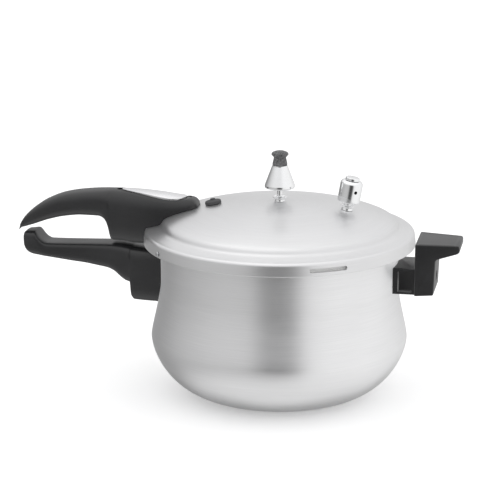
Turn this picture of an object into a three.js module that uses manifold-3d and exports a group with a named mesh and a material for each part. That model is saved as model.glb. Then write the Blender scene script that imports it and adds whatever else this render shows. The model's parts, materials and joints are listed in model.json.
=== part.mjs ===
/**
 * Stovetop pressure cooker with a bayonet lid that closes over the outside of the pot.
 *
 * Frame: millimetres, +Z up, the origin at the centre of the flat base. The two long
 * handles point along -X and the short helper handle points along +X.
 * The lid is shown closed. It turns anticlockwise (seen from above) to open, then lifts off.
 */
import * as THREE from "three";
import { mergeVertices } from "three/addons/utils/BufferGeometryUtils.js";
import Module from "manifold-3d";

const wasm = await Module();
wasm.setup();

// ---------------------------------------------------------------- driving dimensions
const LID_RADIUS = 120; // outside of the skirt
const RIM_HEIGHT = 142; // top of the pot rim above the base
const WALL = 3; // sheet thickness of pot and lid
const GAP = 0.3; // between pieces that touch or seat on each other
const LARGE_SIDES = 48; // facets round the pot and the lid
const SMALL_SIDES = 16; // facets round valves and fasteners

const DOME_RISE = 31.5; // dome centre above the rim
const SKIRT_DROP = 5.2; // lower edge of the skirt below the rim
const SKIRT_FLARE = 0.9; // skirt narrows by this much from its edge to its bead
const BEAD_ROUNDING = 3.2;
const FLANGE_RISE = 2; // flange climbs inward by this much
const FLANGE_WIDTH = 9;
const SHOULDER_WIDTH = 6.5; // plan width of the steep step between flange and dome
const SHOULDER_RISE = 7;
const KNEE_INSET = 45; // where the dome turns down, inward from the skirt
const KNEE_DROP = 8.1; // knee below the dome centre

const LUG_COUNT = 4;
const LUG_ARC = 28; // degrees
const LUG_THICKNESS = 2.6; // pot lugs, downward from the rim
const LID_LUG_THICKNESS = 2.2;
const LID_LUG_REACH = 7.5; // inward from the inside of the skirt
const LUG_PLAY = 4.5; // pot lug to the inside of the skirt
const NECK_PLAY = 4.5; // lid lug to the pot neck
const RIM_BEAD = 2; // continuous bead round the rim, outward from the neck

const BELLY_BULGE = 8.7; // belly beyond the neck
const BELLY_HEIGHT = 53;
const BASE_INSET = 52; // flat base edge inside the neck radius
const NECK_LENGTH = 40; // straight neck, downward from the rim

const RING_HEIGHT = 2.6; // sealing ring, flat part
const RING_HEADROOM = 0.4; // between the ring and the flange over it
const RING_INSIDE = 14; // inner edge of the ring, inward from the inside of the skirt
const RING_LIP = 2.1; // thickness of the hanging outer lip
const RING_LIP_DROP = 3;

const WINDOW_FROM = -68.2; // degrees, skirt window over the sealing ring
const WINDOW_TO = -52.1;
const WINDOW_HEIGHT = 3.6;
const WINDOW_LIFT = 3.1; // bottom of the window above the skirt edge
const STUD_ANGLE = -141; // degrees, small riveted stud in the skirt
const STUD_LIFT = 3.4; // its centre above the skirt edge
const STUD_SHANK = 1.2;
const STUD_HEAD = 2.1;

const SCREW_RADIUS = 2.4; // handle screws
const SCREW_HEAD_RADIUS = 4.5;
const SCREW_HEAD_HEIGHT = 3;
const WASHER_HEIGHT = 1;
const DRIVE_RADIUS = 1.7; // recess in a screw head
const RIVET_RADIUS = 1.8;
const RIVET_HEAD_RADIUS = 3.3;
const RIVET_HEAD_HEIGHT = 1.5;

const BRACKET_THICKNESS = 2.5;
const BRACKET_ARC = 15; // degrees round the pot
const RIVET_ARC = 5; // degrees either side of the bracket's centre
const BOSS_WIDTH = 9;

const VENT_TUBE_RADIUS = 2.4;
const VENT_BORE = 1;
const VENT_THREAD = 3.6;
const VENT_COLLAR_RADIUS = 6.2;
const VENT_COLLAR_HEIGHT = 1.6;
const COLLAR_FOOT_WIDTH = 1; // foot under a collar, outward from its thread
const COLLAR_FOOT_HEIGHT = 2.6;
const VENT_TUBE_LENGTH = 21.6; // above the dome
const NUT_HEIGHT = 4;
const VENT_NUT_RADIUS = 6.5; // across corners, halved
const SEAL_WASHER_HEIGHT = 1.2;

const WEIGHT_RADIUS = 13.3;
const WEIGHT_TOP_RADIUS = 6.9;
const WEIGHT_HEIGHT = 20.4;
const WEIGHT_LIFT = 12; // underside above the dome
const WEIGHT_SOCKET_DEPTH = 11.6;
const SPINDLE_RADIUS = 1.5;
const KNOB_HEIGHT = 12.6;
const KNOB_WAIST = 5.3;
const KNOB_CROWN = 7.6;

const VALVE_INSET = 60.5; // relief valve and safety plug, inward from the skirt
const RELIEF_COLLAR_RADIUS = 6;
const RELIEF_COLLAR_HEIGHT = 1.5;
const RELIEF_THREAD = 4.2;
const RELIEF_STEM = 4.6;
const RELIEF_BORE = 1.8;
const RELIEF_SEAT = 11.4; // seat above the dome
const RELIEF_HOUSING_RADIUS = 9.9;
const RELIEF_HOUSING_LIFT = 7.7;
const RELIEF_HOUSING_HEIGHT = 19.2;
const RELIEF_HOUSING_WALL = 1.8;
const RELIEF_SHOULDER = 3.2;
const RELIEF_CAP_RADIUS = 6.2;
const RELIEF_CAP_HEIGHT = 2.4;
const RELIEF_STUD = 2.2;
const RELIEF_STUD_LENGTH = 3.6;
const RELIEF_NUT_RADIUS = 7.5;
const SPRING_RADIUS = 3.6;
const SPRING_WIRE = 0.45;
const SPRING_COILS = 5;
const POPPET_RADIUS = 4.3;
const POPPET_HEIGHT = 1.7;
const STEAM_HOLE_RADIUS = 1.5;
const STEAM_HOLE_ANGLE = -55; // degrees
const STEAM_HOLE_LIFT = 10.7; // above the underside of the housing

const PLUG_RADIUS = 7.25;
const PLUG_NECK = 5.2;
const PLUG_HEIGHT = 3.4;
const PLUG_NUB_RADIUS = 2.25;
const PLUG_NUB_HEIGHT = 1.3;

// ---------------------------------------------------------------- derived sizes
const LID_EDGE = RIM_HEIGHT - SKIRT_DROP;
const NECK_HEIGHT = RIM_HEIGHT - NECK_LENGTH;
const DOME_TOP = RIM_HEIGHT + DOME_RISE;
const SKIRT_INSIDE = LID_RADIUS - WALL;
const POT_LUG_RADIUS = SKIRT_INSIDE - LUG_PLAY;
const LID_LUG_RADIUS = SKIRT_INSIDE - LID_LUG_REACH;
const NECK_RADIUS = LID_LUG_RADIUS - NECK_PLAY;
const BELLY_RADIUS = NECK_RADIUS + BELLY_BULGE;
const VALVE_RADIUS = LID_RADIUS - VALVE_INSET;
const FASTENER_HOLE = SCREW_RADIUS + GAP;
const RIVET_HOLE = RIVET_RADIUS + GAP;

// ---------------------------------------------------------------- geometry helpers

/** A closed three.js geometry as a solid that can be joined and cut. */
function solid(geometry) {
  const bare = geometry.clone();
  bare.deleteAttribute("normal");
  bare.deleteAttribute("uv");
  const merged = mergeVertices(bare, 1e-4);
  return new wasm.Manifold(
    new wasm.Mesh({
      numProp: 3,
      vertProperties: new Float32Array(merged.attributes.position.array),
      triVerts: new Uint32Array(merged.index.array),
    }),
  );
}

/** A solid back as a three.js geometry with flat faces. */
function geometryOf(body) {
  const mesh = body.getMesh();
  const geometry = new THREE.BufferGeometry();
  geometry.setAttribute("position", new THREE.BufferAttribute(mesh.vertProperties, 3));
  geometry.setIndex(new THREE.BufferAttribute(mesh.triVerts, 1));
  const flat = geometry.toNonIndexed();
  flat.computeVertexNormals();
  return flat;
}

const joined = (bodies) => bodies.reduce((sum, body) => sum.add(body));
const cut = (body, tools) => tools.reduce((left, tool) => left.subtract(tool), body);
const radians = THREE.MathUtils.degToRad;

/** Solid of revolution about +Z; the profile runs up the outside, then down the inside. */
function revolve(profile, sides = SMALL_SIDES) {
  const points = profile.map(([radius, height]) => new THREE.Vector2(radius, height));
  return new THREE.LatheGeometry(points, sides).rotateX(Math.PI / 2);
}

/** Ring or washer of revolution with a rectangular section. */
function ring(inside, outside, from, to, sides = SMALL_SIDES) {
  return revolve(
    [
      [inside, from],
      [outside, from],
      [outside, to],
      [inside, to],
      [inside, from],
    ],
    sides,
  );
}

/** Cylinder about +Z. */
function rod(radius, from, to, sides = SMALL_SIDES) {
  return revolve(
    [
      [0, from],
      [radius, from],
      [radius, to],
      [0, to],
    ],
    sides,
  );
}

/** Cylinder along +X from one place to another, at a height. */
function crossRod(radius, from, to, height, sides = SMALL_SIDES) {
  return rod(radius, from, to, sides).rotateY(Math.PI / 2).translate(0, 0, height);
}

/** Block given by its two corners. */
function block([x0, y0, z0], [x1, y1, z1]) {
  return new THREE.BoxGeometry(x1 - x0, y1 - y0, z1 - z0).translate(
    (x0 + x1) / 2,
    (y0 + y1) / 2,
    (z0 + z1) / 2,
  );
}

/** Flat outline in the XZ plane, given a thickness along Y and centred on it. */
function slab(outline, width) {
  const shape = new THREE.Shape(outline.map(([x, z]) => new THREE.Vector2(x, z)));
  return new THREE.ExtrudeGeometry(shape, { depth: width, bevelEnabled: false })
    .translate(0, 0, -width / 2)
    .rotateX(Math.PI / 2);
}

/** Pie-shaped prism about +Z, used to keep one arc of a ring. */
function wedge(centre, arc, reach, from, to) {
  const half = radians(arc) / 2;
  const middle = radians(centre);
  const corner = (angle) => new THREE.Vector2(reach * Math.cos(angle), reach * Math.sin(angle));
  const shape = new THREE.Shape([
    new THREE.Vector2(0, 0),
    corner(middle - half),
    corner(middle).multiplyScalar(1 / Math.cos(half)),
    corner(middle + half),
  ]);
  return new THREE.ExtrudeGeometry(shape, { depth: to - from, bevelEnabled: false })
    .translate(0, 0, from);
}

/** Quarter circle in a profile, from one direction to another in degrees. */
function arc([radius, height], size, from, to, steps = 3) {
  return Array.from({ length: steps + 1 }, (_, i) => {
    const angle = radians(from + ((to - from) * i) / steps);
    return [radius + size * Math.cos(angle), height + size * Math.sin(angle)];
  });
}

/** Points along a cubic Bezier in a profile, without its first point. */
function bezier(a, b, c, d, steps) {
  const curve = new THREE.CubicBezierCurve(
    ...[a, b, c, d].map(([radius, height]) => new THREE.Vector2(radius, height)),
  );
  return curve.getPoints(steps).slice(1).map((point) => [point.x, point.y]);
}

/** A profile moved sideways: outward for a positive distance, inward for a negative one. */
function offset(profile, distance) {
  return profile.map(([radius, height], i) => {
    const before = profile[Math.max(i - 1, 0)];
    const after = profile[Math.min(i + 1, profile.length - 1)];
    const run = after[0] - before[0];
    const rise = after[1] - before[1];
    const length = Math.hypot(run, rise);
    const moved = radius + (distance * rise) / length;
    return [radius === 0 ? 0 : moved, height - (distance * run) / length];
  });
}

/** Radius of a profile at a height, taken from its straight pieces. */
function radiusAt(profile, height) {
  const i = profile.findIndex(([, top], k) => k > 0 && top >= height);
  const [r0, z0] = profile[i - 1];
  const [r1, z1] = profile[i];
  return r0 + ((r1 - r0) * (height - z0)) / (z1 - z0);
}

/**
 * Body with rounded cross-sections along -X.
 * Each station is [distance out, underside, top, half width]; squareness 2 is an ellipse.
 */
function loft(stations, squareness, sides = 16) {
  const vertices = [];
  const faces = [];
  const power = 2 / squareness;
  const rounded = (value) => Math.sign(value) * Math.abs(value) ** power;
  stations.forEach(([out, under, top, half]) => {
    for (let k = 0; k < sides; k += 1) {
      const angle = (2 * Math.PI * k) / sides;
      const y = half * rounded(Math.cos(angle));
      const z = (under + top) / 2 + ((top - under) / 2) * rounded(Math.sin(angle));
      vertices.push(-out, y, z);
    }
  });
  for (let row = 0; row + 1 < stations.length; row += 1) {
    for (let k = 0; k < sides; k += 1) {
      const a = row * sides + k;
      const b = row * sides + ((k + 1) % sides);
      faces.push(a, b, a + sides, b, b + sides, a + sides);
    }
  }
  const last = (stations.length - 1) * sides;
  for (let k = 1; k + 1 < sides; k += 1) {
    faces.push(0, k + 1, k);
    faces.push(last, last + k, last + k + 1);
  }
  const geometry = new THREE.BufferGeometry();
  geometry.setAttribute("position", new THREE.Float32BufferAttribute(vertices, 3));
  geometry.setIndex(faces);
  return geometry;
}

/** Hexagonal nut about +Z. */
function hexNut(hole, radius, from, to) {
  const shape = new THREE.Shape(
    Array.from({ length: 6 }, (_, i) => {
      const angle = (i * Math.PI) / 3;
      return new THREE.Vector2(radius * Math.cos(angle), radius * Math.sin(angle));
    }),
  );
  shape.holes.push(new THREE.Path().absarc(0, 0, hole, 0, 2 * Math.PI, true));
  return new THREE.ExtrudeGeometry(shape, {
    depth: to - from,
    bevelEnabled: false,
    curveSegments: SMALL_SIDES / 2,
  }).translate(0, 0, from);
}

/** Domed screw about +Z: head below, shank up to the given length above the head. */
function screw(length) {
  const body = solid(
    revolve([
      [0, -SCREW_HEAD_HEIGHT],
      [SCREW_HEAD_RADIUS * 0.7, -SCREW_HEAD_HEIGHT],
      [SCREW_HEAD_RADIUS, -SCREW_HEAD_HEIGHT * 0.6],
      [SCREW_HEAD_RADIUS, 0],
      [SCREW_RADIUS, 0],
      [SCREW_RADIUS, length - SCREW_RADIUS / 2],
      [SCREW_RADIUS / 2, length],
      [0, length],
    ]),
  );
  const across = DRIVE_RADIUS;
  const blade = 0.5;
  const depth = SCREW_HEAD_HEIGHT * 0.6;
  const slots = [
    block([-across, -blade, -SCREW_HEAD_HEIGHT - 1], [across, blade, depth - SCREW_HEAD_HEIGHT]),
    block([-blade, -across, -SCREW_HEAD_HEIGHT - 1], [blade, across, depth - SCREW_HEAD_HEIGHT]),
  ];
  return geometryOf(cut(body, slots.map(solid)));
}

/** Rivet about +Z through a stack that starts at 0 and ends at the given grip. */
function rivet(grip) {
  const crown = RIVET_HEAD_RADIUS * 0.6;
  return revolve([
    [0, -RIVET_HEAD_HEIGHT - GAP],
    [crown, -RIVET_HEAD_HEIGHT - GAP],
    [RIVET_HEAD_RADIUS, -RIVET_HEAD_HEIGHT * 0.4 - GAP],
    [RIVET_HEAD_RADIUS, -GAP],
    [RIVET_RADIUS, -GAP],
    [RIVET_RADIUS, grip + GAP],
    [RIVET_HEAD_RADIUS, grip + GAP],
    [RIVET_HEAD_RADIUS, grip + GAP + RIVET_HEAD_HEIGHT * 0.4],
    [crown, grip + GAP + RIVET_HEAD_HEIGHT],
    [0, grip + GAP + RIVET_HEAD_HEIGHT],
  ]);
}

// ---------------------------------------------------------------- scene helpers

const part = new THREE.Group();

const FINISHES = {
  aluminium: { color: 0xc9cacb, roughness: 0.32, metalness: 1 },
  chrome: { color: 0xe4e6e8, roughness: 0.06, metalness: 1 },
  steel: { color: 0xaeb1b4, roughness: 0.3, metalness: 1 },
  satin: { color: 0xc4c6c8, roughness: 0.28, metalness: 1 },
  phenolic: { color: 0x1d1d1e, roughness: 0.45, metalness: 0 },
  knob: { color: 0x3a3a3c, roughness: 0.6, metalness: 0 },
  rubber: { color: 0x2f3032, roughness: 0.75, metalness: 0 },
  gasket: { color: 0x4b4c4e, roughness: 0.7, metalness: 0 },
};

/** Adds one named piece to a group. */
function add(name, geometry, finish, parent = part) {
  const mesh = new THREE.Mesh(geometry, new THREE.MeshStandardMaterial(FINISHES[finish]));
  mesh.name = name;
  parent.add(mesh);
  return mesh;
}

/** A geometry taken from a group's own frame into the part's frame. */
function placed(geometry, group) {
  group.updateMatrix();
  return geometry.clone().applyMatrix4(group.matrix);
}

// ---------------------------------------------------------------- lid surface

const FLANGE_EDGE = LID_RADIUS - SKIRT_FLARE - BEAD_ROUNDING;
const FLANGE_INSIDE = FLANGE_EDGE - FLANGE_WIDTH;
const FLANGE_TOP = RIM_HEIGHT + GAP + RING_HEIGHT + RING_HEADROOM + WALL;
const SHOULDER_RADIUS = FLANGE_INSIDE - SHOULDER_WIDTH;
const SHOULDER_TOP = FLANGE_TOP + FLANGE_RISE + SHOULDER_RISE;
const KNEE_RADIUS = LID_RADIUS - KNEE_INSET;
const KNEE_HEIGHT = DOME_TOP - KNEE_DROP;
const DOME_CURVE = (KNEE_RADIUS ** 2 + KNEE_DROP ** 2) / (2 * KNEE_DROP);
const KNEE_SLOPE = KNEE_RADIUS / (DOME_CURVE - KNEE_DROP);

/** Height of the dome at a radius inside the knee. */
const domeHeight = (radius) => DOME_TOP - DOME_CURVE + Math.sqrt(DOME_CURVE ** 2 - radius ** 2);

/** Outside of the lid from the skirt edge to the centre of the dome. */
function lidOutline() {
  const beadCentre = [FLANGE_EDGE, FLANGE_TOP - BEAD_ROUNDING];
  const kneeTangent = 10;
  const shoulderTangent = 7;
  return [
    [LID_RADIUS, LID_EDGE],
    ...arc(beadCentre, BEAD_ROUNDING, 0, 90),
    [FLANGE_INSIDE + 2, FLANGE_TOP + FLANGE_RISE * 0.8],
    ...bezier(
      [FLANGE_INSIDE + 2, FLANGE_TOP + FLANGE_RISE * 0.8],
      [FLANGE_INSIDE - 1, FLANGE_TOP + FLANGE_RISE + 0.4],
      [FLANGE_INSIDE - 2, FLANGE_TOP + FLANGE_RISE + 1.2],
      [FLANGE_INSIDE - 2.8, FLANGE_TOP + FLANGE_RISE + 2.8],
      2,
    ),
    ...bezier(
      [FLANGE_INSIDE - 2.8, FLANGE_TOP + FLANGE_RISE + 2.8],
      [FLANGE_INSIDE - 3.8, SHOULDER_TOP - 2],
      [SHOULDER_RADIUS + 1.6, SHOULDER_TOP - 0.9],
      [SHOULDER_RADIUS, SHOULDER_TOP],
      2,
    ),
    ...bezier(
      [SHOULDER_RADIUS, SHOULDER_TOP],
      [SHOULDER_RADIUS - shoulderTangent, SHOULDER_TOP + shoulderTangent * 0.45],
      [KNEE_RADIUS + kneeTangent, KNEE_HEIGHT - kneeTangent * KNEE_SLOPE],
      [KNEE_RADIUS, KNEE_HEIGHT],
      4,
    ),
    ...[0.9, 0.68, 0.35].map((share) => [KNEE_RADIUS * share, domeHeight(KNEE_RADIUS * share)]),
    [0, DOME_TOP],
  ];
}

const LID_OUTLINE = lidOutline();

/** Solid filling everything below the lid's outer surface, grown by a gap. */
function lidEnvelope(growth) {
  const grown = offset(LID_OUTLINE, growth);
  const [edge] = grown;
  return revolve([[0, LID_EDGE - 30], [edge[0], LID_EDGE - 30], ...grown], LARGE_SIDES);
}

/** Group whose +Z is the lid's outward normal at a radius, on the +X or the -X side. */
function lidStation(radius, side) {
  const inner = LID_OUTLINE.findIndex(([r], i) => i > 4 && r <= radius);
  const [r0, z0] = LID_OUTLINE[inner - 1];
  const [r1, z1] = LID_OUTLINE[inner];
  const group = new THREE.Group();
  group.position.set(side * radius, 0, z0 + ((z1 - z0) * (r0 - radius)) / (r0 - r1));
  group.rotation.y = side * Math.atan2(z1 - z0, r0 - r1);
  part.add(group);
  return group;
}

// ---------------------------------------------------------------- pot surface

/** Outside of the pot from the centre of the base to just under the rim. */
function potOutline() {
  const baseEdge = [NECK_RADIUS - BASE_INSET, 0];
  const belly = [BELLY_RADIUS, BELLY_HEIGHT];
  const neck = [NECK_RADIUS, NECK_HEIGHT];
  return [
    [0, 0],
    baseEdge,
    ...bezier(baseEdge, [baseEdge[0] + 44, 0], [BELLY_RADIUS, BELLY_HEIGHT - 14.5], belly, 7),
    ...bezier(belly, [BELLY_RADIUS, BELLY_HEIGHT + 6], [NECK_RADIUS, NECK_HEIGHT - 13], neck, 4),
    [NECK_RADIUS, RIM_HEIGHT - LUG_THICKNESS - RIM_BEAD],
  ];
}

const POT_OUTLINE = potOutline();

/** Solid filling the pot's outer shape, grown by a gap. */
function potEnvelope(growth) {
  const grown = offset(POT_OUTLINE, growth).slice(1);
  const top = grown.at(-1);
  return revolve([[0, grown[0][1]], ...grown, [top[0], RIM_HEIGHT], [0, RIM_HEIGHT]], LARGE_SIDES);
}

/** Shell that follows the pot wall between two heights and two distances from it. */
function wallShell(from, to, near, far) {
  const knots = POT_OUTLINE.map(([, z]) => z).filter((z) => z > from && z < to);
  const heights = [from, ...knots, to];
  const outside = heights.map((z) => [radiusAt(POT_OUTLINE, z) + far, z]);
  const inside = heights.map((z) => [radiusAt(POT_OUTLINE, z) + near, z]).reverse();
  return revolve([...outside, ...inside, outside[0]], LARGE_SIDES);
}

/** Arcs of a ring under or over which the bayonet locks. */
function lugs(inside, outside, from, to) {
  const band = solid(ring(inside, outside, from, to, LARGE_SIDES));
  return joined(
    Array.from({ length: LUG_COUNT }, (_, i) => {
      const centre = (360 / LUG_COUNT) * i;
      return band.intersect(solid(wedge(centre, LUG_ARC, outside * 1.2, from - 1, to + 1)));
    }),
  );
}

// ---------------------------------------------------------------- brackets on the pot

/** One handle bracket: where it sits and how its handle is bolted to it. */
const MAIN_BRACKET = {
  side: -1,
  from: LID_EDGE - 51,
  to: LID_EDGE - 25,
  boss: LID_EDGE - 47,
  rivets: LID_EDGE - 33,
  bossLength: 11,
  face: 11.5, // bolted face of the handle, outward from the skirt
  counterbore: 5.5,
};
const HELPER_BRACKET = {
  side: 1,
  from: LID_EDGE - 35,
  to: LID_EDGE - 15.5,
  boss: LID_EDGE - 24,
  rivets: LID_EDGE - 24,
  bossLength: 16,
  face: 20,
  counterbore: 7,
};

/** Places the pieces of one bracket in a frame whose +X points out of the pot. */
function outward(geometry, side) {
  return side > 0 ? geometry : geometry.rotateZ(Math.PI);
}

/** Distance from the pot's axis at which a bracket's boss clears the wall. */
function bossRoot(height) {
  const ends = [-BOSS_WIDTH / 2, BOSS_WIDTH / 2].map((up) => radiusAt(POT_OUTLINE, height + up));
  return Math.max(...ends) + GAP;
}

/** Bracket body grown by a clearance, with +X outward. */
function bracketBody({ from, to, boss, bossLength }, growth) {
  const reach = 2 * LID_RADIUS;
  const arcGrowth = (2 * growth * 180) / (Math.PI * NECK_RADIUS);
  const shell = wallShell(from - growth, to + growth, GAP - growth, GAP + BRACKET_THICKNESS + growth);
  const plate = solid(shell).intersect(
    solid(wedge(0, BRACKET_ARC + arcGrowth, reach, from - 5, to + 5)),
  );
  const root = bossRoot(boss);
  const half = BOSS_WIDTH / 2 + growth;
  const stub = block([root, -half, boss - half], [root + bossLength + growth, half, boss + half]);
  return plate.add(solid(stub));
}

/** Radial frames of the two rivets of a bracket, each starting on the pot's inner wall. */
function rivetFrames({ rivets }) {
  const start = radiusAt(POT_OUTLINE, rivets) - WALL;
  return [-RIVET_ARC, RIVET_ARC].map((angle) => {
    const group = new THREE.Group();
    const around = radians(angle);
    group.position.set(start * Math.cos(around), start * Math.sin(around), rivets);
    group.rotation.set(0, Math.PI / 2, around, "ZYX");
    return group;
  });
}

/** Everything that a handle must be cut by to fit over its bracket, bolt and rivets. */
function bracketTools(bracket) {
  const floor = LID_RADIUS + bracket.face - bracket.counterbore;
  const root = bossRoot(bracket.boss);
  const grip = 2 * WALL + BRACKET_THICKNESS;
  const heads = rivetFrames(bracket).map((frame) =>
    placed(rod(RIVET_HEAD_RADIUS + GAP, 0, grip + RIVET_HEAD_HEIGHT), frame),
  );
  return [
    geometryOf(bracketBody(bracket, GAP)),
    crossRod(FASTENER_HOLE, root, floor + 1, bracket.boss),
    crossRod(SCREW_HEAD_RADIUS + GAP, floor, floor + 40, bracket.boss),
    ...heads,
  ].map((geometry) => outward(geometry, bracket.side));
}

/** Adds the bracket, its rivets, screw and washer. */
function addBracket(prefix, bracket) {
  const { side, boss, face, counterbore } = bracket;
  const group = new THREE.Group();
  group.rotation.z = side > 0 ? 0 : Math.PI;
  part.add(group);
  const root = bossRoot(boss) + BRACKET_THICKNESS;
  const holes = [
    crossRod(FASTENER_HOLE, root, root + 60, boss),
    ...rivetFrames(bracket).map((frame) => placed(rod(RIVET_HOLE, -5, 15), frame)),
  ];
  const body = cut(bracketBody(bracket, 0), holes.map(solid));
  add(`${prefix}_bracket`, geometryOf(body), "steel", group);
  rivetFrames(bracket).forEach((frame, i) => {
    add(`${prefix}_rivet_${i + 1}`, rivet(WALL + GAP + BRACKET_THICKNESS), "aluminium", frame);
    group.add(frame);
  });
  const floor = LID_RADIUS + face - counterbore;
  const bolt = new THREE.Group();
  bolt.position.set(floor + 2 * GAP + WASHER_HEIGHT, 0, boss);
  bolt.rotation.y = -Math.PI / 2;
  group.add(bolt);
  add(`${prefix}_screw`, screw(bolt.position.x - root - GAP), "steel", bolt);
  const washer = ring(FASTENER_HOLE, SCREW_HEAD_RADIUS, GAP, GAP + WASHER_HEIGHT);
  add(`${prefix}_washer`, washer, "steel", bolt);
}

// ---------------------------------------------------------------- pot

function addPot() {
  const inside = offset(POT_OUTLINE.slice(1), -WALL);
  const bore = inside.at(-1)[0];
  const shell = revolve(
    [
      ...POT_OUTLINE,
      [NECK_RADIUS + RIM_BEAD, RIM_HEIGHT - LUG_THICKNESS],
      [NECK_RADIUS + RIM_BEAD, RIM_HEIGHT],
      [bore, RIM_HEIGHT],
      ...inside.reverse(),
      [0, WALL],
    ],
    LARGE_SIDES,
  );
  const rimLugs = lugs(NECK_RADIUS - WALL / 2, POT_LUG_RADIUS, RIM_HEIGHT - LUG_THICKNESS, RIM_HEIGHT);
  const holes = [MAIN_BRACKET, HELPER_BRACKET].flatMap((bracket) =>
    rivetFrames(bracket).map((frame) =>
      outward(placed(rod(RIVET_HOLE, -5, 5), frame), bracket.side),
    ),
  );
  const body = cut(solid(shell).add(rimLugs), holes.map(solid));
  add("pot_body", geometryOf(body), "aluminium");
  addBracket("pot_handle", MAIN_BRACKET);
  addBracket("helper_handle", HELPER_BRACKET);
}

/** Stations of a long handle: distances from the skirt and heights from the skirt edge. */
function stationsFromSkirt(rows) {
  return rows.map(([out, under, top, half]) => [
    LID_RADIUS + out,
    LID_EDGE + under,
    LID_EDGE + top,
    half,
  ]);
}

function addPotHandle() {
  const rows = [
    [112.1, -10.6, -2.4, 8.5],
    [111.4, -14.2, -0.6, 10.5],
    [109.6, -17.6, 0.3, 12],
    [106.2, -20, 0.7, 13],
    [101.4, -21.2, 1.2, 13.6],
    [99.1, -21.4, -1, 13.7],
    [97, -21.6, -4, 13.8],
    [94, -22, -6.9, 13.8],
    [90, -22.4, -8.6, 13.8],
    [68, -25.2, -8.1, 13.6],
    [55, -26.6, -7.6, 13.6],
    [43, -28.6, -7.2, 14],
    [34, -30.2, -6.9, 14.6],
    [28, -33, -6.8, 15.2],
    [22, -38.2, -6.9, 15.8],
    [18, -41, -7.4, 16.2],
    [13, -43, -8.2, 16.8],
    [12.1, -56.2, -8.5, 17],
    [10.1, -58.4, -8.9, 17.3],
    [-21, -59.4, -10.8, 19],
  ];
  const body = solid(loft(stationsFromSkirt(rows), 3.2));
  const tools = [potEnvelope(GAP), ...bracketTools(MAIN_BRACKET)];
  add("pot_handle", geometryOf(cut(body, tools.map(solid))), "phenolic");
}

const HELPER_HALF_WIDTH = 24;
const HELPER_BLOCK_HALF_WIDTH = 21;
const HELPER_CLEARANCE = 2.4; // upright to the skirt
const HELPER_POCKET_DEPTH = 7;
const HELPER_REACH = 38; // tip of the shelf outward from the upright's inner face
const HELPER_TAPER = 0.2; // share of the width lost from the inner face to the tip

function addHelperHandle() {
  const inner = LID_RADIUS + HELPER_CLEARANCE;
  const tip = inner + HELPER_REACH;
  const low = LID_EDGE - 37.4;
  const high = LID_EDGE + 8.8;
  const outline = [
    [inner, low],
    [inner + 16.4, low + 0.8],
    [inner + 17.6, high - 13.6],
    [tip - 1.6, high - 8],
    [tip, high - 6.4],
    [tip, high - 2.2],
    [tip - 1.2, high - 0.8],
    [inner, high],
  ];
  const upright = slab(outline, 2 * HELPER_HALF_WIDTH);
  const corners = upright.getAttribute("position");
  for (let i = 0; i < corners.count; i++) {
    const share = (corners.getX(i) - inner) / HELPER_REACH;
    corners.setY(i, corners.getY(i) * (1 - HELPER_TAPER * share));
  }
  const blockTop = low + 23.6;
  const innerBlock = block(
    [NECK_RADIUS - 8, -HELPER_BLOCK_HALF_WIDTH, low],
    [inner + 2, HELPER_BLOCK_HALF_WIDTH, blockTop],
  );
  const pocketWall = 2.6;
  const pockets = [-1, 1].map((side) => {
    const sides = [
      side * (HELPER_BLOCK_HALF_WIDTH - HELPER_POCKET_DEPTH),
      side * (HELPER_BLOCK_HALF_WIDTH + 1),
    ].sort((a, b) => a - b);
    return block(
      [NECK_RADIUS + pocketWall, sides[0], low + pocketWall],
      [inner - pocketWall, sides[1], blockTop - pocketWall],
    );
  });
  const body = solid(upright).add(solid(innerBlock));
  const tools = [potEnvelope(GAP), ...pockets, ...bracketTools(HELPER_BRACKET)];
  add("helper_handle", geometryOf(cut(body, tools.map(solid))), "phenolic");
}

// ---------------------------------------------------------------- lid

const LID_BRACKET = {
  arc: 14,
  from: LID_EDGE + 1.5,
  to: LID_EDGE + 8,
  tongueFrom: LID_EDGE + 4.6,
  tongueTo: LID_EDGE + 7.4,
  tongueLength: 26,
  tongueHalfWidth: 8,
  bolt: 16, // outward from the skirt
};
const FRONT_SCREW_INSET = 28; // second handle screw, inward from the skirt
const FRONT_SCREW_DEPTH = 8; // into the nose of the handle
const FRONT_WASHER_RADIUS = 6;
const LID_HANDLE_UNDERSIDE = LID_EDGE - 6.6;
const LID_BOLT_COUNTERBORE = 8.2;

/** Strap welded to the skirt whose tongue runs into the handle, with +X outward. */
function lidBracketBody(growth) {
  const near = LID_RADIUS + GAP;
  const band = ring(
    near - growth,
    near + BRACKET_THICKNESS + growth,
    LID_BRACKET.from - growth,
    LID_BRACKET.to + growth,
    LARGE_SIDES,
  );
  const arcGrowth = (2 * growth * 180) / (Math.PI * LID_RADIUS);
  const keep = wedge(0, LID_BRACKET.arc + arcGrowth, 2 * LID_RADIUS, LID_EDGE - 5, LID_EDGE + 20);
  const half = LID_BRACKET.tongueHalfWidth + growth;
  const tongue = block(
    [near + BRACKET_THICKNESS / 2, -half, LID_BRACKET.tongueFrom - growth],
    [near + LID_BRACKET.tongueLength + growth, half, LID_BRACKET.tongueTo + growth],
  );
  return solid(band).intersect(solid(keep)).add(solid(tongue));
}

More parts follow.
